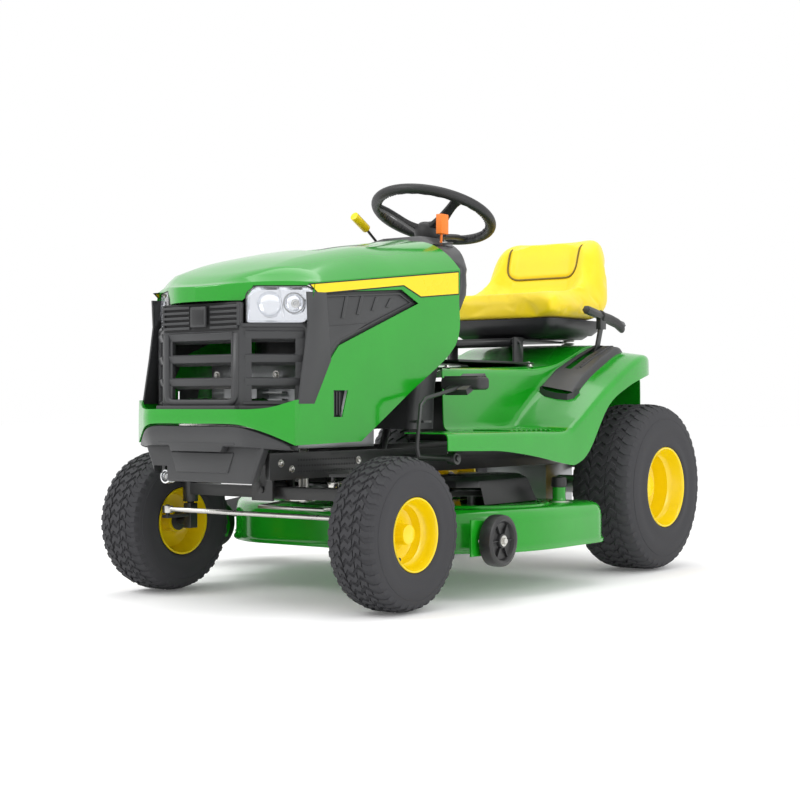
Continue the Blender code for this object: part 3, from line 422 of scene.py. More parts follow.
def shared_effects():
    noise_group("moulded_grain", moulded_grain, ("Scale", 900.0), output="Height")
    noise_group("soft_mottle", soft_mottle, ("Scale", 6.0))
    noise_group("low_dust", low_dust, ("Reach", 0.5), ("Amount", 0.3))


def placed(tree, name, vector, **values):
    node = tree.nodes.new("ShaderNodeGroup")
    node.node_tree = bpy.data.node_groups[name]
    tree.links.new(vector, node.inputs["Vector"])
    for key, value in values.items():
        node.inputs[key].default_value = value
    return node


DUST = (0.20, 0.17, 0.13, 1.0)


def finish(name, colour, rough, metal=0.0, coat=0.0, grain=900.0, depth=0.1, tone=0.06,
           mottle=6.0, dust=0.12, reach=0.45, stretch=(1, 1, 1), sheen=0.0, rough_swing=0.08,
           specular=0.5):
    """A solid finish: its colour varies slowly, its surface has grain, and dust lies low on it."""
    material = bpy.data.materials.new(name)
    material.use_nodes = True
    material.diffuse_color = (*colour, 1.0)
    tree = material.node_tree
    shader = tree.nodes["Principled BSDF"]
    place = tree.nodes.new("ShaderNodeTexCoord").outputs["Object"]
    scaled = wired(tree, "ShaderNodeMapping", [("Vector", place)])
    scaled.inputs["Scale"].default_value = stretch
    cells = placed(tree, "moulded_grain", scaled.outputs["Vector"], Scale=grain)
    broad = placed(tree, "soft_mottle", place, Scale=mottle)
    grime = placed(tree, "low_dust", place, Reach=reach, Amount=dust)
    ramp = wired(tree, "ShaderNodeMix", [("Factor", broad.outputs["Mask"])], data_type="RGBA")
    colour_inputs = [s for s in ramp.inputs if s.type == "RGBA"]
    colour_inputs[0].default_value = (*[c * (1 - tone) for c in colour], 1.0)
    colour_inputs[1].default_value = (*[min(1.0, c * (1 + tone)) for c in colour], 1.0)
    tint = [s for s in ramp.outputs if s.type == "RGBA"][0]
    dusty = wired(tree, "ShaderNodeMix", [("Factor", grime.outputs["Mask"])], data_type="RGBA")
    sides = [s for s in dusty.inputs if s.type == "RGBA"]
    tree.links.new(tint, sides[0])
    sides[1].default_value = DUST
    tree.links.new([s for s in dusty.outputs if s.type == "RGBA"][0], shader.inputs["Base Color"])
    worn = wired(tree, "ShaderNodeMapRange", [("Value", broad.outputs["Mask"])])
    worn.inputs["To Min"].default_value = max(0.02, rough - rough_swing / 2)
    worn.inputs["To Max"].default_value = min(1.0, rough + rough_swing / 2)
    dulled = wired(tree, "ShaderNodeMath", [(0, worn.outputs["Result"]),
                                            (1, grime.outputs["Mask"])], operation="ADD",
                   use_clamp=True)
    tree.links.new(dulled.outputs[0], shader.inputs["Roughness"])
    bump = wired(tree, "ShaderNodeBump", [("Height", cells.outputs["Height"])], Strength=depth)
    bump.inputs["Distance"].default_value = 0.0008
    tree.links.new(bump.outputs["Normal"], shader.inputs["Normal"])
    shader.inputs["Metallic"].default_value = metal
    shader.inputs["Coat Weight"].default_value = coat
    shader.inputs["Coat Roughness"].default_value = 0.06
    shader.inputs["Sheen Weight"].default_value = sheen
    shader.inputs["Specular IOR Level"].default_value = specular
    return material


def clear_lens():
    material = bpy.data.materials.new("clear_lens")
    material.use_nodes = True
    tree = material.node_tree
    shader = tree.nodes["Principled BSDF"]
    place = tree.nodes.new("ShaderNodeTexCoord").outputs["Object"]
    broad = placed(tree, "soft_mottle", place, Scale=30.0)
    haze = wired(tree, "ShaderNodeMapRange", [("Value", broad.outputs["Mask"])])
    haze.inputs["To Min"].default_value = 0.02
    haze.inputs["To Max"].default_value = 0.06
    tree.links.new(haze.outputs["Result"], shader.inputs["Roughness"])
    shader.inputs["Base Color"].default_value = (0.97, 0.98, 1.0, 1.0)
    shader.inputs["Transmission Weight"].default_value = 0.95
    shader.inputs["IOR"].default_value = 1.25


def mix_finishes(colours):
    shared_effects()
    green, yellow = tuple(colours.green), tuple(colours.yellow)
    finish("green_enamel", green, 0.18, coat=0.3, grain=420.0, depth=0.012, tone=0.05,
           dust=0.04, rough_swing=0.05)
    finish("green_hood", green, 0.15, coat=0.3, grain=420.0, depth=0.010, tone=0.04, dust=0.03,
           rough_swing=0.04)
    finish("yellow_enamel", yellow, 0.24, coat=0.3, grain=500.0, depth=0.015, tone=0.04,
           dust=0.05, reach=0.3)
    finish("yellow_stripe", yellow, 0.3, grain=800.0, depth=0.01, tone=0.02, dust=0.0)
    finish("yellow_vinyl", yellow, 0.42, grain=520.0, depth=0.16, tone=0.04, dust=0.0,
           sheen=0.15, specular=0.4)
    finish("yellow_grip", yellow, 0.35, grain=900.0, depth=0.06, dust=0.0)
    finish("orange_grip", tuple(colours.orange), 0.34, grain=900.0, depth=0.06, dust=0.0)
    finish("charcoal_plastic", tuple(colours.charcoal), 0.42, grain=1300.0, depth=0.16,
           tone=0.12, dust=0.05)
    finish("black_plastic", tuple(colours.black), 0.36, grain=1300.0, depth=0.14, tone=0.14,
           dust=0.06)
    finish("black_grip", (0.016, 0.016, 0.017), 0.5, grain=1500.0, depth=0.22, dust=0.0)
    finish("black_powder_coat", (0.02, 0.021, 0.022), 0.38, coat=0.15, grain=1100.0, depth=0.12,
           tone=0.15, dust=0.12)
    finish("tyre_rubber", tuple(colours.rubber), 0.58, grain=1500.0, depth=0.10, tone=0.15,
           dust=0.16, reach=0.35, specular=0.42)
    finish("belt_rubber", (0.02, 0.02, 0.021), 0.75, grain=1800.0, depth=0.3, dust=0.1)
    finish("zinc_plate", (0.62, 0.61, 0.58), 0.28, metal=1.0, grain=700.0, depth=0.05, tone=0.12,
           dust=0.08, rough_swing=0.16, stretch=(1.0, 1.0, 0.25))
    finish("blade_steel", (0.30, 0.30, 0.31), 0.34, metal=1.0, grain=260.0, depth=0.08, tone=0.2,
           rough_swing=0.2, stretch=(0.3, 2.0, 1.0))
    finish("cast_alloy", (0.40, 0.41, 0.42), 0.55, metal=0.85, grain=380.0, depth=0.35, tone=0.15,
           dust=0.12, rough_swing=0.15)
    finish("reflector_silver", (0.88, 0.89, 0.91), 0.14, metal=1.0, grain=160.0, depth=0.5,
           tone=0.05, dust=0.0, stretch=(1.0, 1.0, 0.2))
    # The seat piping's cord is real; its dark mustard colour is painted shade in the seam's crease.
    finish("seam_cord_painted_shade", (0.16, 0.11, 0.01), 0.6, grain=2000.0, depth=0.3, dust=0.0)
    # Near-black fill: painted shade in the grille's upper opening, the dash's lever slots and the holes
    # in the frame rails; it also gives the border round each hood stripe.
    finish("painted_shade_and_border_black", (0.008, 0.008, 0.009), 0.7, dust=0.0)
    clear_lens()


# ---------------------------------------------------------------- hood

HOOD_HALF = 0.262
HOOD_SWELL = 0.008
CROWN = run([(-0.905, 0.785), (-0.84, 0.818), (-0.71, 0.868), (-0.49, 0.914), (-0.36, 0.929),
             (-0.075, 0.972)], 5)
SHOULDER = run([(-0.905, 0.782), (-0.77, 0.794), (-0.165, 0.866)], 5)
NOSE = run([(0, -0.905, 0.787), (0.27, -0.895, 0.789), (0.53, -0.858, 0.792),
            (0.76, -0.815, 0.793), (1, -0.770, 0.794)], 5)
HOOD_TAIL = [(0, -0.100), (0.20, -0.112), (0.38, -0.170), (1, -0.168)]
CREASE_X = 0.142
SIDE_ROWS = [(-0.785, 0.720, -0.172, 0.790), (-0.800, 0.620, -0.190, 0.660),
             (-0.820, 0.510, -0.400, 0.530), (-0.840, 0.405, -0.600, 0.410)]
CHIN = [(0, -0.914, 0.455, 0.490), (0.125, -0.914, 0.455, 0.490), (0.170, -0.905, 0.448, 0.490),
        (0.215, -0.875, 0.430, 0.495), (0.2615, -0.840, 0.405, 0.512)]
VENT = [(-0.731, 0.772), (-0.427, 0.796), (-0.355, 0.764), (-0.678, 0.645), (-0.712, 0.609),
        (-0.774, 0.501)]
LOUVRE = [(-0.700, 0.536), (-0.645, 0.536), (-0.668, 0.471), (-0.700, 0.471)]
STRIPE = [(-0.784, 0.7865), (-0.177, 0.857), (-0.177, 0.800), (-0.345, 0.783), (-0.419, 0.808),
          (-0.756, 0.768)]
HOOD_X = (0.0, 0.02, 0.04, 0.06, 0.072, 0.086, 0.099, 0.107, 0.12, 0.136, 0.142, 0.148, 0.16,
          0.175, 0.19, 0.205, 0.22, 0.232, 0.242, 0.250, 0.257, HOOD_HALF)
HOOD_T = (0.0, 0.012, 0.03, 0.055, 0.09, 0.13, 0.17, 0.21, 0.25, 0.29, 0.33, 0.365, 0.378, 0.388,
          0.40, 0.427, 0.441, 0.46, 0.49, 0.52, 0.56, 0.60, 0.64, 0.68, 0.72, 0.76, 0.80, 0.84,
          0.88, 0.92, 0.96, 0.985, 1.0)


def hood_top(x, t, scoop):
    u = x / HOOD_HALF
    nose_y, nose_z = table(u, NOSE)
    tail_y = table(u, HOOD_TAIL)
    y = mix(-0.905, -0.100, t) + (nose_y + 0.905) * (1 - t) ** 1.3 + (tail_y + 0.100) * t ** 4
    crown, shoulder = table(y, CROWN), table(y, SHOULDER)
    if x < CREASE_X:
        fall = 0.10 * (x / CREASE_X) ** 2
    else:
        out = (x - CREASE_X) / (HOOD_HALF - CREASE_X)
        fall = 0.10 + 0.90 * (0.34 * out + 0.66 * out ** 2.3)
    z = mix(nose_z, crown - (crown - shoulder) * fall, ease(-0.01, 0.05, t))
    dip = (1 - ease(0.0995, 0.1065, x)) * ease(-0.561, -0.551, y) * (1 - ease(-0.42, -0.30, y))
    return Vector((x + HOOD_SWELL * t * u, y, z - scoop * dip))


def hood_sheet(sizes):
    columns = []
    for x in HOOD_X:
        line = [hood_top(x, t, sizes.scoop_depth) for t in reversed(HOOD_T)]
        nose = line[-1]
        lip = mix(0.750, 0.786, ease(0.495, 0.545, x / HOOD_HALF))
        arc = rounded([line[-2], nose, (nose.x, nose.y + 0.001, lip)], 0.007, 3)
        columns.append([*line[:-1], *arc[1:-1], arc[-1]])
    edge = columns[-1][:-1]
    front, tail = edge[-1].y, edge[0].y
    walls = []
    for start in edge:
        t = (start.y - front) / (tail - front)
        drop = [tuple(start)] + [(HOOD_HALF + HOOD_SWELL * t, mix(row[0], row[2], t),
                                  mix(row[1], row[3], t)) for row in SIDE_ROWS]
        walls.append(run(drop, 6))
    front_edge = [tuple(SIDE_ROWS[-1][:2]), tuple(SIDE_ROWS[-2][:2])]
    bands = []
    for x, y, low, high in run(CHIN, 6):
        bands.append([(x, y + 0.012, high + 0.0005), (x, y + 0.001, high), (x, y, high - 0.003),
                      (x, y - 0.0015, mix(low, high, 0.5)), (x, y, low)])
    bands.append([(HOOD_HALF, front_edge[1][0], front_edge[1][1] + 0.002)] * 3
                 + [(HOOD_HALF, mix(front_edge[0][0], front_edge[1][0], 0.5),
                     mix(front_edge[0][1], front_edge[1][1], 0.5)),
                    (HOOD_HALF, front_edge[0][0], front_edge[0][1])])
    wall = thick(skin(walls), 0.0028)
    for outline in (VENT, LOUVRE):
        cut(wall, slab(outline, 0.235, 0.30, "X"))
    half = joined([thick(skin(list(zip(*columns))), 0.0028), thick(skin(bands), 0.0028), wall])
    return joined([half, copied(half, FLIP)])


def hood_side_x(y):
    return HOOD_HALF + HOOD_SWELL * (y + 0.770) / 0.602


def on_hood_side(item):
    """Lean a flat piece so that it lies along the hood's side."""
    for vertex in item.data.vertices:
        vertex.co.x += hood_side_x(vertex.co.y)
    return item


def model_hood(sizes):
    settled(hood_sheet(sizes), "hood_panel", "hood", "green_hood", "hood_shell",
            32)
    well = [hood_top(x, t, sizes.scoop_depth) + Vector((0, 0, 0.0012))
            for t in HOOD_T for x in HOOD_X if x <= 0.0995 and 0.44 <= t <= 0.72]
    width = len([x for x in HOOD_X if x <= 0.0995])
    mat = thick(mirrored(skin([well[i:i + width] for i in range(0, len(well), width)])), 0.001)
    slats = [mat]
    for k in range(7):
        y = -0.540 + 0.018 * k
        z = hood_top(0.0, (y + 0.905) / 0.805, sizes.scoop_depth).z
        slats.append(block((-0.092, y, z), (0.092, y + 0.005, z + 0.007), 0.001))
    settled(joined(slats), "hood_scoop_grid", "hood", "charcoal_plastic")
    stripes = []
    for _, side in SIDES:
        for outline, low, high, paint in (
                (grown(STRIPE[::-1], 0.0032), -0.001, 0.0005, "painted_shade_and_border_black"),
                                          (STRIPE, -0.001, 0.0009, "yellow_stripe")):
            band = painted(on_hood_side(slab(outline, low, high, "X")), paint)
            stripes.append(moved(band, FLIP) if side < 0 else band)
    settled(joined(stripes), "hood_stripes", "hood")
    liners = []
    for _, side in SIDES:
        low, high = sorted((side * 0.246, side * 0.249))
        back = [(-0.708, 0.545), (-0.636, 0.545), (-0.660, 0.463), (-0.708, 0.463)]
        liners.append(slab(back, low, high, "X"))
        for k in range(3):
            y = -0.694 + 0.011 * k
            fin = [(y, 0.532), (y + 0.004, 0.532), (y + 0.004, 0.475), (y, 0.475)]
            low, high = sorted((side * 0.249, side * 0.259))
            liners.append(slab(fin, low, high, "X", 0.0008))
    settled(joined(liners), "hood_louvres", "hood", "charcoal_plastic")


def model_hood_cheeks():
    """Charcoal plates that carry the grille's colour round the corner to the side vents."""
    cheeks = []
    for _, side in SIDES:
        outline = [(-0.796, 0.769), (-0.727, 0.771), (-0.709, 0.609), (-0.771, 0.503),
                   (-0.828, 0.503), (-0.805, 0.620), (-0.792, 0.700)]
        cheek = on_hood_side(slab(outline, -0.0040, 0.0014, "X", 0.0006))
        cheeks.append(moved(cheek, FLIP) if side < 0 else cheek)
    settled(joined(cheeks), "hood_cheeks", "hood", "charcoal_plastic")


def model_side_vents():
    for label, side in SIDES:
        parts = [from_frame("side_vent_" + label, 0.0008)]
        outwards = 1 if max(p[1] for p in grown(VENT, 0.01)) > max(p[1] for p in VENT) else -1
        inner = grown(VENT, -0.010 * outwards)
        backing = slab(grown(VENT, 0.012 * outwards), 0.2510, 0.2545, "X")
        ring = rod([(0.2585, y, z) for y, z in inner], 0.0032, closed=True, resolution=2)
        plate = slab([(-0.742, 0.600), (-0.716, 0.690), (-0.560, 0.704), (-0.668, 0.656),
                      (-0.700, 0.618), (-0.722, 0.575)], 0.2565, 0.2605, "X", 0.0012)
        fins = []
        for k in range(4):
            y = -0.665 + 0.060 * k
            lean = [(y, 0.712 + 0.012 * k), (y + 0.012, 0.712 + 0.012 * k), (y + 0.030, 0.772),
                    (y + 0.018, 0.772)]
            fins.append(slab(lean, 0.2565, 0.2600, "X", 0.001))
        for piece in (ring, plate, backing, *fins):
            parts.append(moved(piece, FLIP) if side < 0 else piece)
        settled(joined(parts), "vent_" + label, "hood", "charcoal_plastic",
                "side_vent_" + label)


# ---------------------------------------------------------------- grille and lamps

def along_wing(side):
    """Local x runs along a grille wing from the centre panel, and local -y faces forwards."""
    angle = math.atan2(0.1085, 0.125)
    turn = Matrix.Translation((0.128, -0.885, 0.0)) @ Matrix.Rotation(angle, 4, "Z")
    return FLIP @ turn if side < 0 else turn


def grille_blade(low, high, z, height=0.020):
    """A louvre blade whose face leans back towards its foot."""
    section = [(0.001, z + height / 2), (-0.0045, z + height / 2 - 0.003), (0.0, z - height / 2),
               (0.024, z - height / 2 - 0.008), (0.026, z - height / 2 - 0.004)]
    return slab(section, low, high, "X", 0.0012)


def model_grille():
    centre = Matrix.Translation((0.0, -0.885, 0.0))
    parts = [from_frame("grille", 0.0015)]
    u_frame = rounded([(-0.114, 0.0, 0.672), (-0.114, 0.0, 0.5045), (0.114, 0.0, 0.5045),
                       (0.114, 0.0, 0.672)], 0.026, 6)
    frame_bar = rod([tuple(p) for p in u_frame], 0.0095, resolution=3)
    frame_bar.data.transform(Matrix.Scale(0.72, 4, (0, 1, 0)))
    parts.append(moved(frame_bar, centre))
    for z in (0.556, 0.612, 0.666):
        parts.append(moved(grille_blade(-0.106, 0.106, z), centre))
    # A near-black block behind the upper slats is painted shade in the opening behind the grille.
    well = block((-0.125, 0.0, 0.678), (0.125, 0.010, 0.746), 0.001)
    parts.append(painted(moved(well, centre @ Matrix.Translation((0, -0.001, 0))), "painted_shade_and_border_black"))
    for k in range(5):
        z = 0.6835 + 0.0125 * k
        for side in (-1, 1):
            low, high = sorted((side * 0.034, side * 0.123))
            parts.append(moved(block((low, -0.006, z), (high, 0.002, z + 0.0062), 0.0012), centre))
    for _, side in SIDES:
        rail = [(side * 0.124, -0.002, 0.744), (side * 0.124, -0.002, 0.690)]
        parts.append(moved(rod(rail, 0.004), centre))
    for _, side in SIDES:
        place = along_wing(side)
        for z, high in ((0.556, 0.142), (0.612, 0.148), (0.668, 0.152)):
            parts.append(moved(grille_blade(0.012, high, z), place))
        border = rounded([(0.006, 0.0, 0.690), (0.157, 0.002, 0.690), (0.1605, 0.002, 0.640),
                          (0.150, 0.002, 0.503), (0.008, 0.0, 0.503)], 0.012, 4)
        bar = rod([tuple(p) for p in border], 0.0052, resolution=2)
        parts.append(moved(bar, place))
        for z in (0.510, 0.566, 0.622):
            gusset = [(0.128, z - 0.001), (0.152, z + 0.018), (0.152, z - 0.006)]
            parts.append(moved(slab(gusset, -0.003, 0.004, "Y", 0.001), place))
    parts.append(block((-0.130, -0.908, 0.4865), (0.130, -0.874, 0.4985), 0.001))
    for _, side in SIDES:
        parts.append(moved(block((-0.004, -0.008, 0.4865), (0.163, 0.016, 0.4985), 0.001),
                           along_wing(side)))
    for part in parts:
        if not part.data.materials:
            painted(part, "charcoal_plastic")
    settled(joined(parts), "grille_panel", "hood", None, "grille")
    rim = painted(block((-0.026, -0.897, 0.688), (0.026, -0.889, 0.738), 0.0025),
                  "charcoal_plastic")
    face = painted(block((-0.020, -0.8980, 0.694), (0.020, -0.8900, 0.732), 0.0015),
                   "black_plastic")
    settled(joined([rim, face]), "nose_plate", "hood")


LAMP_ALONG = Vector((0.117, 0.088)).normalized()
LAMP_FACE = [(-0.008, 0.697), (0.128, 0.697), (0.154, 0.724), (0.154, 0.772), (0.136, 0.783),
             (0.012, 0.783), (-0.008, 0.766)]


def along_lamp(side):
    turn = (Matrix.Translation((0.137, -0.860, 0.0))
            @ Matrix.Rotation(math.atan2(LAMP_ALONG.y, LAMP_ALONG.x), 4, "Z"))
    return FLIP @ turn if side < 0 else turn


def model_headlights():
    for label, side in SIDES:
        place = along_lamp(side)
        face = [(p[0], p[1]) for p in rounded([(*p, 0) for p in LAMP_FACE], 0.007, 3, closed=True)]
        lens = moved(slab(face, 0.000, 0.005, "Y", 0.0022, 3), place)
        settled(lens, "lamp_lens_" + label, "hood", "clear_lens", "headlight_" + label,
                50)
        housing = []
        inner = grown(face, -0.003)
        tray = slab(inner, 0.026, 0.030, "Y")
        wall = skin([[(x, y, z) for x, z in ring] for ring, y in
                     ((grown(face, -0.0015), 0.006), (grown(face, -0.008), 0.030))], closed=True)
        housing += [tray, apply(wall, "SOLIDIFY", thickness=0.0012, offset=0.0)]
        for x, z, radius in ((0.046, 0.742, 0.030), (0.104, 0.744, 0.026)):
            bowl = [(radius, 0.010), (radius * 0.93, 0.017), (radius * 0.7, 0.0225),
                    (radius * 0.4, 0.0245), (0.0, 0.0252)]
            dish = turned([(r, off - 0.002) for r, off in bowl], (0, 0, 0), "Z", steps=32)
            turn = Matrix.Translation((x, 0.0, z)) @ Matrix.Rotation(-math.pi / 2, 4, "X")
            housing.append(apply(moved(dish, turn), "SOLIDIFY", thickness=0.0006, offset=0.0))
            for k in range(7):
                spread = radius * (0.25 + 0.1 * k)
                housing.append(block((x - spread, 0.0245 - 0.0004 * k, z - 0.024 + 0.0075 * k),
                                     (x + spread, 0.0265 - 0.0004 * k, z - 0.0225 + 0.0075 * k),
                                     0.0))
        ribs = [(0.078, 0.712), (0.081, 0.712), (0.069, 0.778), (0.066, 0.778)]
        housing.append(slab(ribs, 0.008, 0.028, "Y", 0.0008))
        for part in housing:
            painted(part, "reflector_silver")
        bulb = painted(post((0.106, 0.024, 0.744), (0.106, 0.010, 0.744), 0.0065, 20,
                            end_radius=0.005), "clear_lens")
        socket = painted(post((0.106, 0.0262, 0.744), (0.106, 0.019, 0.744), 0.0095, 20),
                         "zinc_plate")
        rim = rod([(x, 0.003, z) for x, z in grown(face, 0.0015)], 0.0022, closed=True,
                  resolution=2)
        housing += [bulb, socket, painted(rim, "black_plastic")]
        for part in housing:
            moved(part, place)
        settled(joined(housing), "lamp_reflector_" + label, "hood")


# ---------------------------------------------------------------- bumper

BUMPER = [(0.0, -0.912, 0.400, 0.450), (0.125, -0.912, 0.400, 0.450), (0.170, -0.903, 0.398, 0.443),
          (0.215, -0.873, 0.394, 0.424), (0.250, -0.845, 0.392, 0.404)]


def model_bumper():
    rows = []
    for x, y, low, high in run(BUMPER, 7):
        tall = high - low
        rows.append([(x, y + 0.030, high - 0.002), (x, y + 0.006, high),
                     (x, y + 0.001, high - 0.002),
                     (x, y - 0.001, high - 0.30 * tall), (x, y + 0.003, high - 0.62 * tall),
                     (x, y + 0.010, low + 0.002), (x, y + 0.018, low), (x, y + 0.030, low)])
    bar = weld(mirrored(skin(rows, closed=True)))
    plate = slab([(-0.200, 0.407), (0.200, 0.407), (0.158, 0.312), (-0.158, 0.312)],
                 -0.880, -0.852, "Y", 0.006, 3)
    cut(plate, block((-0.166, -0.90, 0.300), (-0.120, -0.84, 0.350), 0.0))
    inset = slab([(-0.105, 0.386), (0.105, 0.386), (0.086, 0.336), (-0.086, 0.336)],
                 -0.884, -0.876, "Y", 0.003, 3)
    seam = slab([(-0.128, 0.404), (-0.090, 0.404), (-0.084, 0.388), (0.084, 0.388), (0.090, 0.404),
                 (0.128, 0.404), (0.128, 0.418), (-0.128, 0.418)], -0.906, -0.880, "Y", 0.003, 2)
    settled(joined([bar, plate, inset, seam]), "bumper", "chassis", "charcoal_plastic",
            "front_bumper")


# ---------------------------------------------------------------- tyres and wheels

def lug(spots, reach, half_long, height):
    """A tread bar through (offset, radius, lead) spots, standing on the carcass at local top.

    half_long is half its size round the tyre; it narrows a little towards its crown."""
    points = []
    for offset, radius, lead in spots:
        for step, rise in ((-1, 0), (-0.72, height), (0.72, height), (1, 0)):
            points.append((offset, lead + step * half_long, radius - 0.002 + rise * reach))
    faces = []
    for i in range(len(spots) - 1):
        a, b = 4 * i, 4 * (i + 1)
        faces += [(a + 1, a + 2, b + 2, b + 1), (a, a + 1, b + 1, b), (a + 2, a + 3, b + 3, b + 2)]
    last = 4 * (len(spots) - 1)
    faces += [(0, 3, 2, 1), (last, last + 1, last + 2, last + 3)]
    return points, faces


def tyre(centre, radius, rim_r, half_rim, half_tread, pitches, tread, side):
    base = radius - tread
    bulge = half_tread + 0.019
    carcass = [(rim_r + 0.001, half_rim - 0.004), (rim_r + 0.004, half_rim + 0.002),
               (rim_r + 0.012, half_rim + 0.0065), (mix(rim_r, radius, 0.28), bulge - 0.002),
               (mix(rim_r, radius, 0.50), bulge), (mix(rim_r, radius, 0.70), bulge - 0.0035),
               (mix(rim_r, radius, 0.85), bulge - 0.011), (base - 0.004, half_tread - 0.006),
               (base - 0.0005, half_tread * 0.62), (base, 0.0)]
    half = run(carcass, 3)
    outline = half + [(r, -off) for r, off in reversed(half[:-1])]
    body = turned(outline, centre, "X", 1, steps=84)
    beads = [turned([(mix(rim_r, radius, share) + 0.0012 * math.sin(k * math.pi / 3),
                      s * (bulge - drop) + 0.0014 * math.cos(k * math.pi / 3)) for k in range(6)],
                    centre, "X", 1, steps=84, closed=True)
             for s in (-1, 1) for share, drop in ((0.20, 0.005), (0.66, 0.0028))]
    pitch = 2 * math.pi * radius / pitches
    half_bar = 0.34 * pitch
    bar_z = base
    near, far = half_tread * 0.30, half_tread * 0.68
    shapes = []
    zig = [(-near, bar_z, -0.25 * pitch), (-near * 0.35, bar_z, 0.16 * pitch),
           (near * 0.35, bar_z, -0.16 * pitch), (near, bar_z, 0.25 * pitch)]
    shapes.append((lug(zig, 1.0, half_bar, tread), 0.0))
    for s in (-1, 1):
        middle = [(s * (near + 0.003), bar_z, -0.28 * pitch), (s * mix(near, far, 0.5), bar_z,
                                                               0.20 * pitch),
                  (s * far, bar_z - 0.0015, -0.10 * pitch)]
        shapes.append((lug(sorted(middle), 1.0, half_bar, tread), 0.5))
        outer = [(s * (far + 0.003), bar_z - 0.002, 0.20 * pitch),
                 (s * half_tread * 0.92, bar_z - 0.006, -0.05 * pitch),
                 (s * (half_tread + 0.008), mix(rim_r, radius, 0.84), 0.0),
                 (s * (bulge - 0.006), mix(rim_r, radius, 0.74), 0.0)]
        shapes.append((lug(sorted(outer), 1.0, half_bar * 0.92, tread), 0.0))
    points, faces = [], []
    for (spots, quads), shift in shapes:
        for k in range(pitches):
            turn = Matrix.Rotation(2 * math.pi * (k + shift) / pitches * side, 3, "X")
            first = len(points)
            points += [turn @ Vector(spot) + Vector(centre) for spot in spots]
            faces += [tuple(first + i for i in quad) for quad in quads]
    bars = sketch(points, (), faces)
    only(bars)
    bpy.ops.object.mode_set(mode="EDIT")
    bpy.ops.mesh.select_all(action="SELECT")
    bpy.ops.mesh.normals_make_consistent(inside=False)
    bpy.ops.object.mode_set(mode="OBJECT")
    return joined([body, bars, *beads])


def model_tyres(sizes):
    plan = (("front", -AXLE_Y, FRONT_HUB_Z, 0.387, 0.0885, 0.064, 0.054, sizes.front_bars),
            ("rear", AXLE_Y, REAR_HUB_Z, 0.386, 0.1185, 0.096, 0.082, sizes.rear_bars))
    for axle, y, hub_z, x, rim_r, half_rim, half_tread, bars in plan:
        for label, side in SIDES:
            item = tyre((side * x, y, hub_z), hub_z, rim_r, half_rim, half_tread, bars,
                        sizes.tread_depth, side)
            settled(item, "turf_tyre_%s_%s" % (axle, label), "%s_%s_wheel" % (axle, label),
                    "tyre_rubber", "tyre_%s_%s" % (axle, label), 32)


FRONT_RIM = [(0.0885, 0.0600), (0.0905, 0.0655), (0.0890, 0.0672), (0.0862, 0.0662),
             (0.0835, 0.0600), (0.0815, 0.0480), (0.0790, 0.0350), (0.0745, 0.0300),
             (0.0705, 0.0275), (0.0690, 0.0180), (0.0640, 0.0075), (0.0540, 0.0030),
             (0.0400, 0.0035), (0.0330, 0.0085), (0.0270, 0.0125), (0.0255, 0.0150),
             (0.0250, 0.0400), (0.0235, 0.0445), (0.0190, 0.0465), (0.0, 0.0470)]
REAR_RIM = [(0.1185, 0.0900), (0.1210, 0.0975), (0.1190, 0.0995), (0.1155, 0.0980),
            (0.1125, 0.0900), (0.1090, 0.0650), (0.1040, 0.0560), (0.0990, 0.0520),
            (0.0970, 0.0380), (0.0900, 0.0120), (0.0780, 0.0040), (0.0600, 0.0030),
            (0.0480, 0.0060), (0.0400, 0.0120), (0.0370, 0.0200), (0.0355, 0.0340),
            (0.0325, 0.0400), (0.0, 0.0415)]


def model_rims():
    for axle, y, hub_z, x, front, inner_r in (("front", -AXLE_Y, FRONT_HUB_Z, 0.387, FRONT_RIM, 0.0885),
                                              ("rear", AXLE_Y, REAR_HUB_Z, 0.386, REAR_RIM, 0.1185)):
        half = front[1][1] - 0.0015
        back = [(0.030, -half + 0.020), (0.030, -0.010), (inner_r * 0.62, -0.012),
                (inner_r * 0.80, -0.020), (inner_r - 0.012, -0.034), (inner_r - 0.0055, -half + 0.004),
                (inner_r - 0.003, -half - 0.002), (inner_r + 0.0015, -half - 0.0025),
                (inner_r + 0.0015, -half + 0.002), (inner_r - 0.001, -half + 0.006)]
        for label, side in SIDES:
            centre = (side * x, y, hub_z)
            outline = [(0.0, -half + 0.020), *back, *front]
            dish = painted(turned(outline, centre, "X", side, steps=72), "yellow_enamel")
            parts = [dish]
            angle = math.radians(-118 if axle == "front" else 125)
            r = inner_r * 0.74
            spot = Vector((0.0, r * math.cos(angle), r * math.sin(angle))) + Vector(centre)
            tip = spot + Vector((side * 0.034, 0.004, 0.0))
            parts.append(painted(post(spot, tip, 0.0032, 14), "black_grip"))
            parts.append(painted(post(tip - Vector((side * 0.008, 0, 0)), tip + Vector(
                (side * 0.004, 0, 0)), 0.0046, 14), "black_plastic"))
            hub_start = Vector(centre) + Vector((-side * (half - 0.018), 0, 0))
            parts.append(painted(post(hub_start - Vector((side * 0.003, 0, 0)), hub_start, 0.026, 32),
                                 "black_powder_coat"))
            settled(joined(parts), "wheel_dish_%s_%s" % (axle, label), "%s_%s_wheel" % (axle, label),
                    None, "rim_%s_%s" % (axle, label), 32)


# ---------------------------------------------------------------- fenders and footrests

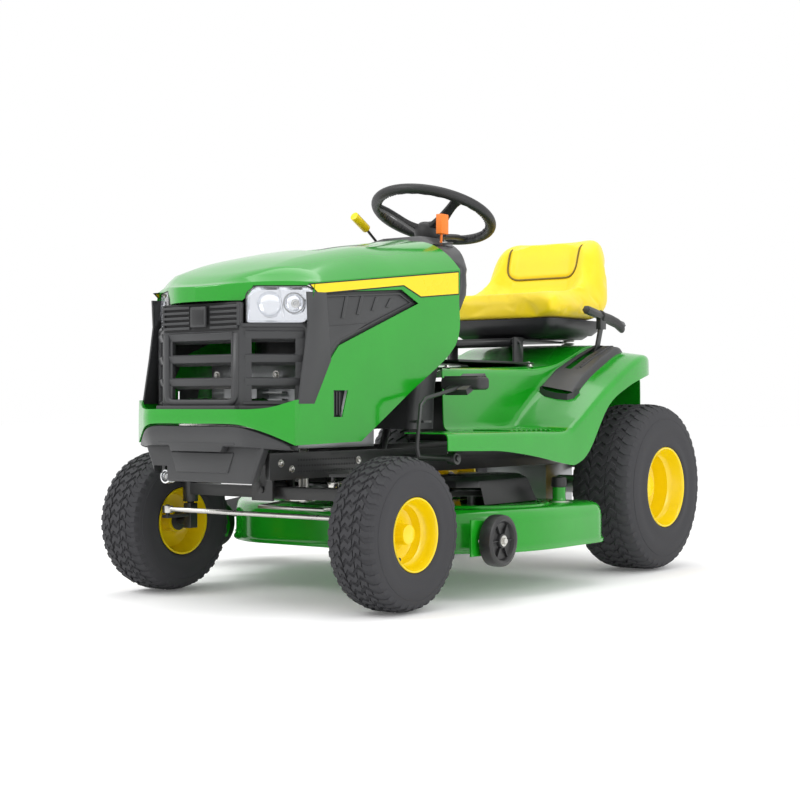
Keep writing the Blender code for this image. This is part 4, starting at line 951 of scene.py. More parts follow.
FENDER_ROWS = [  # y, inner x, inner z, outer x, outer z, lip bottom z
    (-0.440, 0.285, 0.430, 0.420, 0.430, 0.385), (-0.300, 0.238, 0.430, 0.420, 0.430, 0.382),
    (-0.180, 0.225, 0.430, 0.420, 0.430, 0.378), (-0.020, 0.225, 0.430, 0.420, 0.430, 0.360),
    (0.140, 0.225, 0.432, 0.420, 0.428, 0.335), (0.200, 0.225, 0.470, 0.420, 0.450, 0.335),
    (0.270, 0.225, 0.520, 0.420, 0.490, 0.372), (0.380, 0.225, 0.590, 0.420, 0.550, 0.498),
    (0.500, 0.225, 0.635, 0.420, 0.610, 0.555), (0.600, 0.225, 0.668, 0.415, 0.648, 0.582),
    (0.680, 0.225, 0.672, 0.395, 0.650, 0.594), (0.780, 0.225, 0.645, 0.330, 0.625, 0.590),
    (0.800, 0.225, 0.600, 0.300, 0.590, 0.585)]
TOWER_TOP = [(-0.180, 0.600), (0.140, 0.608), (0.380, 0.618), (0.500, 0.648), (0.600, 0.682),
             (0.680, 0.686), (0.780, 0.660), (0.800, 0.615)]
TOWER_START = -0.180


def floor_section(row):
    y, inner_x, inner_z, outer_x, outer_z, lip_z = row
    middle = (mix(inner_x, outer_x, 0.5), y, mix(inner_z, outer_z, 0.45))
    return (inner_x, y, inner_z), middle, (outer_x, y, outer_z), (outer_x + 0.001, y, lip_z)


def fender_z(x, y):
    inner_x, inner_z, outer_x, outer_z, _ = table(y, FENDER_ROWS)
    return mix(inner_z, outer_z, (x - inner_x) / (outer_x - inner_x))


def model_fenders(sizes):
    rows = run(FENDER_ROWS, 5)
    tower = [row for row in rows if row[0] >= TOWER_START - 0.001]
    front = [row for row in rows if row[0] <= TOWER_START + 0.033]
    corner = sizes.fender_corner
    floors = [rounded(floor_section(row), [0, 0.02, corner, 0], 6) for row in front]
    sections = []
    tops = run(TOWER_TOP, 5)
    for row in tower:
        y = row[0]
        top = table(y, tops)
        lead = 0.19 * (1 - ease(TOWER_START, 0.05, y))
        hip = (0.2195, y, max(top, row[2] + 0.004))
        shape = [(0.0, y + lead, top + 0.004), (0.10, y + lead * 0.9, top + 0.003), hip,
                 *floor_section(row)]
        sections.append(rounded(shape, [0, 0.03, 0.026, 0.024, 0.02, corner, 0], 6))
    back = []
    for z_drop, bulge in ((0.012, 0.003), (0.05, 0.004), (0.10, 0.004), (0.15, 0.003)):
        last = sections[-1]
        back.append([(p[0], p[1] + bulge, max(0.452, min(p[2], 0.612) - z_drop)) for p in last])
    shell = thick(mirrored(joined([skin(floors), skin(sections + back)])), 0.003)
    slot = block((0.2615, 0.405, 0.50), (0.2785, 0.612, 0.75), 0.0)
    holes = [block((x - 0.008, -0.235, 0.40), (x + 0.008, -0.135, 0.46), 0.0)
             for x in (-0.275, -0.355)]
    cut(shell, slot, *holes)
    settled(shell, "fender_body", "chassis", "green_enamel", "fender_deck", 38)
    mats = []
    for _, side in SIDES:
        for k in range(9):
            y = -0.095 + 0.025 * k
            low, high = sorted((side * 0.262, side * 0.385))
            mats.append(block((low, y, 0.4285), (high, y + 0.011, 0.4335), 0.0018))
    settled(joined(mats), "footrest_ribs", "chassis", "green_enamel")
    parts = []
    for _, side in SIDES:
        for x, y in ((0.20, -0.13), (0.20, 0.30), (0.12, 0.42)):
            z = table(y, tops) + 0.003
            head = turned([(0.0, 0.006), (0.0055, 0.0055), (0.0065, 0.003), (0.0065, 0.0012),
                           (0.010, 0.001), (0.010, -0.001)], (side * x, y, z), "Z", steps=20)
            parts.append(head)
    settled(joined(parts), "body_bolts", "chassis", "zinc_plate")


def model_lever_quadrant():
    outer = [(0.300, 0.236, 0.345), (0.345, 0.238, 0.340), (0.42, 0.238, 0.335),
             (0.52, 0.240, 0.330), (0.60, 0.242, 0.326), (0.640, 0.246, 0.320),
             (0.655, 0.256, 0.308)]
    rows = []
    for y, low, high in run(outer, 5):
        rise = 0.020 - 0.012 * ease(0.62, 0.655, y)
        rows.append(rounded([(x, y, fender_z(min(x, 0.40), y) + lift)
                             for x, lift in ((low - 0.003, 0.001), (low + 0.002, rise),
                                             (high, rise), (high + 0.006, 0.0))], 0.008, 4))
    bezel = apply(skin(rows), "SOLIDIFY", thickness=0.002, offset=0.0)
    cut(bezel, block((0.2590, 0.400, 0.45), (0.2810, 0.616, 0.80), 0.0))
    skirt_rows = []
    for z_share in (0.0, 0.25, 0.6, 1.0):
        skirt_rows.append([(x, y - 0.004 * math.sin(math.pi * z_share),
                            fender_z(min(x, 0.4), y) + 0.018 - 0.060 * z_share)
                           for x, y in ((0.236, 0.300), (0.258, 0.290), (0.300, 0.286),
                                        (0.335, 0.290), (0.349, 0.302), (0.352, 0.330))])
    parts = [bezel, apply(skin(skirt_rows), "SOLIDIFY", thickness=0.002, offset=0.0)]
    for k in range(15):
        y = 0.412 + 0.0135 * k
        z = fender_z(0.29, y)
        parts.append(block((0.282, y, z + 0.004), (0.300, y + 0.005, z + 0.0225), 0.001))
    guard = []
    for y, _, _ in run(outer, 3):
        if 0.40 <= y <= 0.62:
            guard.append((0.304, y, fender_z(0.304, y) + 0.0215))
    parts.append(rod(guard, 0.0025, resolution=2))
    settled(joined(parts), "lever_quadrant_bezel", "chassis", "charcoal_plastic", "lever_quadrant",
            30)


# ---------------------------------------------------------------- dash and steering wheel

DASH_RINGS = [  # z, half width, front y, rear y at the right, at the left, in the middle
    (0.436, 0.200, -0.290, -0.185, -0.185, -0.100), (0.600, 0.200, -0.250, -0.140, -0.165, -0.040),
    (0.800, 0.262, -0.166, -0.050, -0.122, 0.035), (0.870, 0.262, -0.161, -0.005, -0.118, 0.060),
    (0.930, 0.190, -0.155, 0.035, -0.045, 0.085), (0.978, 0.070, -0.075, 0.065, 0.050, 0.092)]


def model_dash():
    rings = []
    for z, half, front, right_rear, left_rear, middle_rear in run(DASH_RINGS, 4):
        half = min(half, 0.262)
        left, right = [[(half * 0.92, front), (half, front + 0.012), (half, rear),
                        (0.60 * half, mix(rear, middle_rear, 0.45)), (0.05, middle_rear)]
                       for rear in (left_rear, right_rear)]
        loop = [(x, y, z) for x, y in left] + [(-x, y, z) for x, y in reversed(right)]
        rings.append(rounded(loop, 0.022, 4, closed=True))
    wall = skin(rings, closed=True)
    top = sketch(rings[-1], (), [tuple(range(len(rings[-1])))])
    shell = weld(joined([wall, top]), 0.0002)
    settled(shell, "dash_console", "chassis", "charcoal_plastic", "dash_tower", 40)
    parts = []
    column = wheel_matrix()
    gaiter = [(0.034, -0.150), (0.033, -0.138), (0.026, -0.130), (0.027, -0.120), (0.022, -0.112),
              (0.023, -0.100), (0.018, -0.090), (0.0, -0.090)]
    parts.append(moved(turned(gaiter, (0, 0, 0), "Z", steps=40), column))
    for x, y0, y1, z in ((0.160, -0.146, -0.056, 0.9440), (-0.150, -0.058, 0.034, 0.9505)):
        lean = 0.10
        frame_path = rounded([(x - 0.009, y0, z - 0.002), (x + 0.009, y0, z - 0.002),
                              (x + 0.009, y1, z + lean * (y1 - y0)),
                              (x - 0.009, y1, z + lean * (y1 - y0))], 0.005, 3, closed=True)
        parts.append(rod(frame_path, 0.0028, closed=True, resolution=2))
        # A near-black block in each slot is painted shade inside the slot.
        parts.append(painted(block((x - 0.008, y0, z - 0.008), (x + 0.008, y1, z - 0.0015), 0.0),
                             "painted_shade_and_border_black"))
    parts.append(painted(turned([(0.0165, -0.004), (0.0165, 0.003), (0.014, 0.0055), (0.010, 0.006),
                                 (0.009, 0.003)], (0.12, -0.04, 0.9545), "Z", steps=32),
                         "zinc_plate"))
    for part in parts:
        if not part.data.materials:
            painted(part, "black_plastic")
    settled(joined(parts), "dash_fittings", "chassis")


WHEEL_TILT = math.radians(19.9)
WHEEL_CENTRE = Vector((0.0, 0.088, 1.058))


def wheel_matrix():
    """Local z is the steering column's axis, with its origin at the steering wheel's centre."""
    return Matrix.Translation(WHEEL_CENTRE) @ Matrix.Rotation(-WHEEL_TILT, 4, "X")


def model_steering_wheel(sizes):
    bpy.ops.mesh.primitive_torus_add(major_radius=0.172, minor_radius=0.0145, major_segments=112,
                                     minor_segments=20)
    ring = bpy.context.object
    for vertex in ring.data.vertices:
        flat = Vector((vertex.co.x, vertex.co.y, 0.0))
        inward = flat.length < 0.172
        angle = math.atan2(vertex.co.y, vertex.co.x)
        if inward and vertex.co.z < 0.006:
            wave = 0.5 + 0.5 * math.cos(angle * sizes.grip_ribs)
            vertex.co -= flat.normalized() * 0.003 * wave
    parts = [ring]
    for k in range(sizes.grip_ribs):
        angle = 2 * math.pi * (k + 0.5) / sizes.grip_ribs
        rib = block((0.1555, -0.0018, -0.0085), (0.1600, 0.0018, 0.002), 0.0008)
        parts.append(moved(rib, Matrix.Rotation(angle, 4, "Z")))
    for degrees in (90, 210, 330):
        stations = [(0.030, 0.026, -0.048, 0.016), (0.060, 0.021, -0.040, 0.012),
                    (0.100, 0.016, -0.022, 0.010), (0.135, 0.015, -0.007, 0.009),
                    (0.158, 0.020, -0.001, 0.009), (0.172, 0.030, 0.000, 0.010)]
        rows = []
        for r, half, z, deep in run(stations, 4):
            section = rounded([(r, -half, z + 0.003), (r, half, z + 0.003), (r, half * 0.86, z - deep),
                               (r, -half * 0.86, z - deep)], 0.005, 3, closed=True)
            rows.append(section)
        spoke = weld(skin(rows, closed=True))
        groove = [(r, 0.0, z + 0.0035) for r, _, z, _ in run(stations, 3)][2:-5]
        rib = rod(groove, 0.004, resolution=2)
        for piece in (spoke, rib):
            parts.append(moved(piece, Matrix.Rotation(math.radians(degrees), 4, "Z")))
    hub = turned([(0.0, -0.034), (0.026, -0.035), (0.038, -0.039), (0.045, -0.050), (0.046, -0.062),
                  (0.040, -0.078), (0.034, -0.088), (0.0, -0.088)], (0, 0, 0), "Z", steps=48)
    cap = turned([(0.0, -0.0315), (0.016, -0.0320), (0.021, -0.0345), (0.021, -0.037)], (0, 0, 0),
                 "Z", steps=40)
    parts += [hub, cap]
    for part in parts:
        moved(part, wheel_matrix())
    settled(joined(parts), "steering_wheel_rim", "steering", "black_grip", "steering_wheel",
            40)


# ---------------------------------------------------------------- seat

SEAT = [  # top y, top z, bottom y, bottom z, half width, bolster rise
    (0.409, 0.806, 0.409, 0.784, 0.204, 0.0), (0.413, 0.822, 0.413, 0.772, 0.214, 0.001),
    (0.440, 0.836, 0.435, 0.766, 0.223, 0.004), (0.500, 0.832, 0.500, 0.765, 0.226, 0.014),
    (0.575, 0.826, 0.590, 0.765, 0.226, 0.030), (0.640, 0.836, 0.690, 0.767, 0.225, 0.046),
    (0.684, 0.872, 0.764, 0.800, 0.222, 0.046), (0.704, 0.925, 0.787, 0.860, 0.217, 0.036),
    (0.717, 0.975, 0.797, 0.930, 0.207, 0.024), (0.732, 1.012, 0.803, 0.985, 0.194, 0.013),
    (0.750, 1.034, 0.803, 1.022, 0.176, 0.004), (0.768, 1.044, 0.795, 1.040, 0.150, 0.0)]
PIPING = [(-0.132, 1.018), (-0.128, 0.908), (0.128, 0.908), (0.132, 1.018)]


def cushion_form(shrink):
    rings = []
    for top_y, top_z, low_y, low_z, half, rise in run(SEAT, 4):
        top, low = Vector((0, top_y, top_z)), Vector((0, low_y, low_z))
        middle = (top + low) / 2
        up = (top - low) / 2
        lift = up.normalized()
        ring = []
        for k in range(44):
            angle = 2 * math.pi * k / 44
            c, s = math.cos(angle), math.sin(angle)
            wide = math.copysign(abs(c) ** 0.36, c)
            tall = math.copysign(abs(s) ** 0.42, s)
            point = middle + up * tall * shrink + Vector((wide * half * shrink, 0, 0))
            if s > 0:
                point += lift * rise * ease(0.50, 0.86, abs(wide)) * tall
            ring.append(point)
        rings.append(ring)
    body = skin(rings, closed=True)
    caps = [sketch(ring, (), [tuple(range(len(ring)))]) for ring in (rings[0], rings[-1])]
    return weld(joined([body, *caps]), 0.0002)


def puffed(item, cap, steps=20):
    """Fill a closed form as a sewn cover, and hold its foot where it rests on the pan."""
    pad = bpy.data.objects.new("pad", item.data.copy())
    bpy.context.collection.objects.link(pad)
    bpy.data.objects.remove(item, do_unlink=True)
    apply(pad, "REMESH", mode="VOXEL", voxel_size=0.006)
    start = [vertex.co.copy() for vertex in pad.data.vertices]
    held = pad.vertex_groups.new(name="held")
    held.add([v.index for v in pad.data.vertices if v.co.z < 0.770], 1.0, "REPLACE")
    only(pad)
    cloth = pad.modifiers.new("cover", "CLOTH")
    cloth.settings.use_pressure = True
    cloth.settings.uniform_pressure_force = 4.0
    cloth.settings.effector_weights.gravity = 0.0
    cloth.settings.vertex_group_mass = "held"
    cloth.settings.quality = 5
    cloth.point_cache.frame_end = steps
    scene = bpy.context.scene
    for step in range(1, steps + 1):
        scene.frame_set(step)
    bpy.ops.object.modifier_apply(modifier="cover")
    scene.frame_set(1)
    for vertex, before in zip(pad.data.vertices, start):
        shift = vertex.co - before
        if shift.length > cap:
            vertex.co = before + shift.normalized() * cap
    pad.vertex_groups.clear()
    return pad


def model_seat(sizes):
    form = cushion_form(0.965)
    pad = puffed(form, sizes.seat_puff)
    apply(pad, "SMOOTH", factor=0.5, iterations=3)
    apply(pad, "SUBSURF", levels=1, render_levels=1)
    path = [(p[0], p[1]) for p in rounded([(x, z, 0) for x, z in PIPING], 0.045, 8)]
    dense = []
    for (ax, az), (bx, bz) in zip(path, path[1:]):
        count = max(1, int(math.dist((ax, az), (bx, bz)) / 0.006))
        dense += [(mix(ax, bx, k / count), mix(az, bz, k / count)) for k in range(count)]
    dense.append(path[-1])
    spots = []
    for x, z in dense:
        hit, place, normal, _ = pad.ray_cast((x, 0.5, z + 0.02), (0, 1, -0.09))
        if hit:
            spots.append((place, normal))
    for vertex in pad.data.vertices:
        co = vertex.co
        if co.z < 0.87 or abs(co.x) > 0.16:
            continue
        nearest = min((place - co).length_squared for place, _ in spots)
        if nearest < 0.0006:
            vertex.co += Vector((0, 1, -0.2)) * 0.0045 * math.exp(-nearest / 0.00006)
    # The cord's dark colour is painted shade along the seam.
    cord = rod([tuple(place + normal * -0.0022) for place, normal in spots], 0.0028)
    painted(pad, "yellow_vinyl")
    painted(cord, "seam_cord_painted_shade")
    settled(pad, "seat_cover", "seat", None, "seat_cushion", 60)
    settled(cord, "seat_piping", "seat")
    pan = from_frame("seat_pan", 0.004, 3)
    skirt = [(p[0], p[1]) for p in rounded([(-0.205, 0.425, 0), (0.205, 0.425, 0),
                                            (0.205, 0.735, 0), (-0.205, 0.735, 0)], 0.04, 5,
                                           closed=True)]
    lip = skin([[(x * s, 0.58 + (y - 0.58) * s, z) for x, y in skirt]
                for s, z in ((0.90, 0.722), (0.97, 0.735), (1.0, 0.750), (1.005, 0.766))],
               closed=True)
    apply(lip, "SOLIDIFY", thickness=0.003, offset=0.0)
    settled(joined([pan, lip]), "seat_tray", "seat", "black_plastic", "seat_pan", 40)
    springs = []
    for _, side in SIDES:
        coil = [(side * 0.115 + 0.019 * math.cos(a), 0.665 + 0.019 * math.sin(a),
                 0.664 + 0.0016 * a) for a in [k * math.pi / 8 for k in range(82)]]
        springs.append(rod(coil, 0.0028, resolution=2))
    settled(joined(springs), "seat_springs", "seat_base", "zinc_plate")
    bracket = from_frame("seat_bracket", 0.0015)
    settled(bracket, "seat_bracket_steel", "seat_base", "black_powder_coat", "seat_bracket")


# ---------------------------------------------------------------- controls

def model_levers():
    lever = painted(from_frame("lift_lever", 0.003, 3), "black_powder_coat")
    start, end = Vector((0.270, 0.600, 0.777)), Vector((0.270, 0.740, 0.752))
    rows = []
    for t, r, bend in ((-0.02, 0.011, 0), (0.0, 0.0175, 0), (0.06, 0.0175, 0), (0.10, 0.0155, 0),
                       (0.45, 0.0165, 0.001), (0.74, 0.016, 0.0), (0.90, 0.0155, -0.006),
                       (0.98, 0.013, -0.011), (1.0, 0.007, -0.014)):
        c = start.lerp(end, t)
        rows.append([(c.x + r * 0.9 * math.cos(a), c.y, c.z + bend + r * math.sin(a))
                     for a in [2 * math.pi * k / 20 for k in range(20)]])
    caps = [sketch(row, (), [tuple(range(len(row)))]) for row in (rows[0], rows[-1])]
    lever = joined([lever, painted(weld(joined([skin(rows, closed=True), *caps])), "black_grip")])
    settled(lever, "lift_lever_bar", "lift_lever", None, "lift_lever", 40)
    brake = painted(from_frame("brake_pedal", 0.002), "black_powder_coat")
    pads = [brake]
    pads.append(painted(block((0.275, -0.270, 0.540), (0.400, -0.218, 0.5740), 0.009),
                        "black_grip"))
    for k in range(4):
        y = -0.264 + 0.0125 * k
        pads.append(painted(block((0.284, y, 0.572), (0.391, y + 0.0055, 0.5765), 0.0015),
                            "black_grip"))
    settled(joined(pads), "brake_pedal_arm", "brake_pedal", None, "brake_pedal", 40)
    for name in ("forward_pedal", "reverse_pedal"):
        settled(from_frame(name, 0.002), name + "_plate", name, "black_powder_coat", name,
                40)
    throttle = from_frame("throttle_lever", 0.0022, 3)
    settled(throttle, "throttle_grip", "throttle_lever", "orange_grip", "throttle_lever",
            50)
    blade = from_frame("blade_lever", 0.0015)
    only(blade)
    blade.data.materials.append(bpy.data.materials["black_powder_coat"])
    blade.data.materials.append(bpy.data.materials["yellow_grip"])
    for face in blade.data.polygons:
        face.material_index = 1 if face.center.y < -0.066 else 0
    settled(blade, "blade_lever_grip", "blade_lever", None, "blade_lever", 50)
    settled(from_frame("ignition_key", 0.001), "key", "ignition_key", "black_plastic",
            "ignition_key", 40)


# ---------------------------------------------------------------- mowing deck

DECK_PLAN = [(0.250, -0.400), (0.360, -0.355), (0.420, -0.300), (0.460, -0.250), (0.490, -0.150),
             (0.500, -0.050), (0.500, 0.205), (0.450, 0.260), (0.150, 0.260), (-0.030, 0.220),
             (-0.210, 0.260), (-0.520, 0.260), (-0.570, 0.210), (-0.570, -0.120), (-0.520, -0.200),
             (-0.460, -0.250), (-0.420, -0.310), (-0.360, -0.360), (-0.280, -0.400)]


def model_deck():
    plan = [(p[0], p[1]) for p in rounded([(*p, 0) for p in DECK_PLAN], 0.055, 5, closed=True)]
    profile = [(0.0045, 0.1185), (0.0065, 0.1225), (0.0060, 0.1280), (0.0020, 0.1320),
               (0.0, 0.138), (0.0, 0.190), (-0.0015, 0.205), (-0.0065, 0.218), (-0.015, 0.2262),
               (-0.026, 0.2295), (-0.045, 0.2300)]
    rows = [[(x, y, z) for x, y in grown(plan, out)] for out, z in profile]
    wall = skin(rows, closed=True)
    lid = sketch(rows[-1], (), [tuple(range(len(rows[-1])))])
    shell = thick(joined([wall, lid]), 0.0025)
    cut(shell, block((-0.62, -0.095, 0.10), (-0.50, 0.195, 0.200), 0.0))
    parts = [painted(shell, "green_enamel")]
    for x in (0.235, -0.295):
        rib = turned([(0.215, 0.2285), (0.212, 0.2335), (0.205, 0.2355), (0.198, 0.2335),
                      (0.195, 0.2285)], (x, -0.06, 0.0), "Z", steps=72)
        cut(rib, block((-0.9, 0.235, 0.1), (0.9, 0.60, 0.3), 0.0))
        parts.append(painted(rib, "green_enamel"))
    for x, y in ((0.395, 0.140), (-0.450, 0.140)):
        stub = painted(turned([(0.024, 0.2295), (0.020, 0.2340), (0.0185, 0.2400), (0.0185, 0.272),
                               (0.0, 0.272)], (x, y, 0.0), "Z", steps=32), "green_enamel")
        cap = painted(turned([(0.0, 0.2995), (0.018, 0.2990), (0.0215, 0.2960), (0.0225, 0.272),
                              (0.019, 0.270)], (x, y, 0.0), "Z", steps=32), "black_plastic")
        washer = painted(turned([(0.030, 0.2300), (0.030, 0.2320), (0.020, 0.2330)], (x, y, 0.0), "Z",
                                steps=32), "zinc_plate")
        parts += [stub, cap, washer]
    for _, side in SIDES:
        arm = slab([(-0.400, 0.120), (-0.300, 0.118), (-0.290, 0.150), (-0.302, 0.185),
                    (-0.330, 0.205), (-0.380, 0.212), (-0.400, 0.212)],
                   *sorted((side * 0.4575, side * 0.4635)), "X", 0.001)
        parts.append(painted(arm, "green_enamel"))
        for y, z in ((-0.345, 0.180), (-0.365, 0.158), (-0.318, 0.137)):
            low, high = sorted((side * 0.4555, side * 0.4660))
            parts.append(painted(post((low, y, z), (high, y, z), 0.0055, 6), "zinc_plate"))
    shell = joined(parts)
    settled(shell, "mower_deck_shell", "mower_deck", None, "deck_shell", 35)
    for label, side, x in (("left", 1, 0.235), ("right", -1, -0.295)):
        cover = from_frame("belt_cover_" + label, 0.004, 3)
        extra = [cover]
        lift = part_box("belt_cover_" + label)[1][2]
        for k in range(4):
            extra.append(block((x + side * 0.02 - 0.004 + 0.016 * k - 0.03, -0.150, lift - 0.004),
                               (x + side * 0.02 + 0.004 + 0.016 * k - 0.03, -0.010, lift + 0.002),
                               0.0015))
        settled(joined(extra), "belt_cover_moulding_" + label, "mower_deck", "black_plastic",
                "belt_cover_" + label, 40)
        blade = from_frame("blade_" + label, 0.001)
        settled(blade, "cutting_blade_" + label, label + "_blade", "blade_steel", "blade_" + label,
                30)
        centre = (side * 0.490, -0.318, 0.157)
        tread = [(0.012, -0.016), (0.030, -0.017), (0.050, -0.0185), (0.060, -0.019),
                 (0.0650, -0.0155), (0.0662, -0.008), (0.0662, 0.008), (0.0650, 0.0155),
                 (0.0600, 0.0190), (0.0550, 0.0195), (0.0500, 0.0165), (0.0460, 0.0080),
                 (0.0300, 0.0060), (0.0200, 0.0075), (0.0180, 0.0150), (0.0120, 0.0160)]
        wheel = painted(turned(tread, centre, "X", side, steps=56, closed=True), "black_plastic")
        ribs = []
        for k in range(6):
            rib = block((0.004, 0.020, -0.0015), (0.013, 0.048, 0.0015), 0.0008)
            turn = (Matrix.Translation(centre) @ Matrix.Scale(side, 4, (1, 0, 0))
                    @ Matrix.Rotation(math.pi * k / 3, 4, "X"))
            ribs.append(painted(moved(rib, turn), "black_plastic"))
        washer = turned([(0.0, 0.0175), (0.0140, 0.0175), (0.0145, 0.0165), (0.0145, 0.0155),
                         (0.0, 0.0155)], centre, "X", side, steps=36)
        bolt = turned([(0.0, 0.0240), (0.0072, 0.0240), (0.0084, 0.0228), (0.0084, 0.0170),
                       (0.0, 0.0170)], centre, "X", side, steps=6)
        parts = [wheel, *ribs, painted(washer, "zinc_plate"), painted(bolt, "zinc_plate")]
        settled(joined(parts), "scalp_roller_" + label, label + "_scalp_wheel", None,
                "scalp_wheel_" + label, 32)
    hanger = from_frame("deck_hanger_front", 0.0015)
    settled(hanger, "deck_hanger_rod", "mower_deck", "zinc_plate", "deck_hanger_front",
            45)
    chute = from_frame("discharge_deflector", 0.002)
    settled(chute, "chute_flap", "deflector", "black_plastic", "discharge_deflector",
            35)
    settled(from_frame("deck_belt", 0.0), "deck_drive_belt", "mower_deck", "belt_rubber",
            "deck_belt", 40)


# ---------------------------------------------------------------- engine bay and running gear

PLAIN_PIECES = (  # frame piece, edge, finish, slot, body
    ("frame_rail_left", 0.002, "black_powder_coat", "frame_black", "chassis"),
    ("frame_rail_right", 0.002, "black_powder_coat", "frame_black", "chassis"),
    ("front_cross_plate", 0.002, "black_powder_coat", "frame_black", "chassis"),
    ("hitch_plate", 0.002, "black_powder_coat", "frame_black", "chassis"),
    ("battery", 0.004, "black_plastic", "trim_black", "chassis"),
    ("fuel_tank", 0.014, "black_plastic", "trim_black", "chassis"),
    ("transaxle", 0.008, "cast_alloy", "cast_alloy", "chassis"),
    ("traction_belt", 0.0, "belt_rubber", "belt_rubber", "chassis"),
    ("seat_support", 0.0015, "black_powder_coat", "frame_black", "chassis"),
    ("axle_beam", 0.004, "black_powder_coat", "frame_black", "front_axle"),
    ("spindle_left", 0.002, "black_powder_coat", "frame_black", "left_spindle"),
    ("spindle_right", 0.002, "black_powder_coat", "frame_black", "right_spindle"),
    ("steering_shaft", 0.001, "blade_steel", "blade_steel", "steering"),
    ("steering_sector", 0.001, "blade_steel", "blade_steel", "sector"),
    ("tie_rod", 0.001, "zinc_plate", "zinc_steel", "tie_rod"),
    ("drag_link", 0.001, "zinc_plate", "zinc_steel", "drag_link"),
    ("fuel_cap", 0.002, "black_plastic", "trim_black", "fuel_cap"),
    ("crankshaft", 0.001, "zinc_plate", "zinc_steel", "crankshaft"),
)


def hex_bolt(place, axis, size=0.007):
    place, axis = Vector(place), Vector(axis)
    washer = post(place, place + axis * 0.0015, size * 1.5, 20, 0.0)
    head = post(place + axis * 0.0015, place + axis * (0.0015 + size * 0.7), size, 6, 0.0008)
    return joined([washer, head])


def model_engine():
    block_item = painted(from_frame("engine_block", 0.006, 3), "cast_alloy")
    parts = [block_item]
    for k in range(9):
        z = 0.420 + 0.018 * k
        parts.append(painted(block((-0.118, -0.722, z), (0.118, -0.690, z + 0.006), 0.0015),
                             "cast_alloy"))
    for side in (-1, 1):
        for k in range(6):
            y = -0.66 + 0.045 * k
            low, high = sorted((side * 0.139, side * 0.1465))
            parts.append(painted(block((low, y, 0.43), (high, y + 0.008, 0.56), 0.0015),
                                 "cast_alloy"))
    for x, z in ((-0.10, 0.575), (0.10, 0.575), (-0.10, 0.41), (0.10, 0.41)):
        parts.append(painted(hex_bolt((x, -0.723, z), (0, -1, 0)), "zinc_plate"))
    settled(joined(parts), "engine_casting", "chassis", None, "engine_block", 35)
    blower = painted(from_frame("blower_housing", 0.006, 3), "black_plastic")
    parts = [blower]
    centre = (0.0, -0.50, 0.0)
    for k in range(5):
        r = 0.028 + 0.018 * k
        parts.append(painted(turned([(r, 0.7170), (r + 0.0035, 0.7190), (r + 0.007, 0.7170)], centre,
                                    "Z", steps=48), "charcoal_plastic"))
    settled(joined(parts), "blower_shroud", "chassis", None, "blower_housing", 35)
    muffler = from_frame("muffler", 0.002)
    painted(muffler, "zinc_plate")
    tip = turned([(0.0135, 0.018), (0.0165, 0.018), (0.0165, 0.0), (0.0165, -0.004),
                  (0.0145, -0.004)], (0, 0, 0), "Z", steps=36)
    turn = Matrix.Translation((-0.143, -0.846, 0.322)) @ Matrix.Rotation(math.pi / 2, 4, "X")
    tip = painted(moved(apply(tip, "SOLIDIFY", thickness=0.001, offset=0.0), turn),
                  "reflector_silver")
    settled(joined([muffler, tip]), "exhaust_system", "chassis", None, "muffler", 45)


def model_running_gear():
    for node, edge, paint, slot, body in PLAIN_PIECES:
        settled(from_frame(node, edge), node + "_made", body, paint, node, 35)
    bolts = []
    for _, side in SIDES:
        out = Vector((side, 0, 0))
        for y, z in ((-0.80, 0.360), (-0.76, 0.345), (-0.50, 0.360), (-0.42, 0.345), (-0.10, 0.360),
                     (0.30, 0.360), (0.45, 0.345)):
            bolts.append(hex_bolt((side * 0.182, y, z), out, 0.0065))
    settled(joined(bolts), "rail_bolts", "chassis", "zinc_plate")
    # Near-black discs on the rails are painted shade that stands in for the punched holes.
    holes = []
    for _, side in SIDES:
        for k in range(22):
            for z in (0.338, 0.352, 0.366):
                y = -0.735 + 0.0105 * k
                x = side * 0.1822
                holes.append(post((x, y, z), (x + side * 0.0006, y, z), 0.0026, 8, 0.0))
    settled(joined(holes), "rail_punchings", "chassis", "painted_shade_and_border_black")


# ---------------------------------------------------------------- stage

def model_stage():
    bpy.ops.mesh.primitive_plane_add(size=60, location=(0.0, 0.0, -0.0005))
    floor = bpy.context.object
    floor.name = "floor"
    material = bpy.data.materials.new("floor_white")
    material.use_nodes = True
    shader = material.node_tree.nodes["Principled BSDF"]
    shader.inputs["Base Color"].default_value = (0.93, 0.93, 0.93, 1.0)
    shader.inputs["Roughness"].default_value = 0.9
    shader.inputs["Emission Color"].default_value = (1.0, 1.0, 1.0, 1.0)
    shader.inputs["Emission Strength"].default_value = 0.08
    floor.data.materials.append(material)
    world = bpy.data.worlds.new("studio")
    world.use_nodes = True
    world.node_tree.nodes["Background"].inputs["Color"].default_value = (1.0, 1.0, 1.0, 1.0)
    world.node_tree.nodes["Background"].inputs["Strength"].default_value = 1.0
    bpy.context.scene.world = world
    for name, place, aim, size, power in (
            ("key_light", (-1.6, -3.2, 3.6), (0.1, -0.2, 0.5), 2.2, 72),
            ("side_light", (4.2, -0.4, 2.2), (0.1, 0.0, 0.5), 2.4, 48),
            ("top_light", (0.2, 0.3, 4.2), (0.1, 0.0, 0.6), 3.0, 46)):
        bpy.ops.object.light_add(type="AREA", location=place)
        lamp = bpy.context.object
        lamp.name = name
        lamp.data.energy = power
        lamp.data.size = size
        aim_line = Vector(aim) - Vector(place)
        lamp.rotation_euler = aim_line.to_track_quat("-Z", "Y").to_euler()
    data = bpy.data.cameras.new("view")
    data.lens = 68.88
    data.sensor_width = 36.0
    camera = bpy.data.objects.new("view", data)
    bpy.context.collection.objects.link(camera)
    camera.location = Vector((2.60502, -3.57403, 0.49851)) + CENTRE
    camera.rotation_euler = Vector((-0.5974, 0.8020, 0.0037)).to_track_quat("-Z", "Y").to_euler()
    bpy.context.scene.camera = camera
    bpy.context.scene.view_settings.view_transform = "Standard"


# ---------------------------------------------------------------- add-on

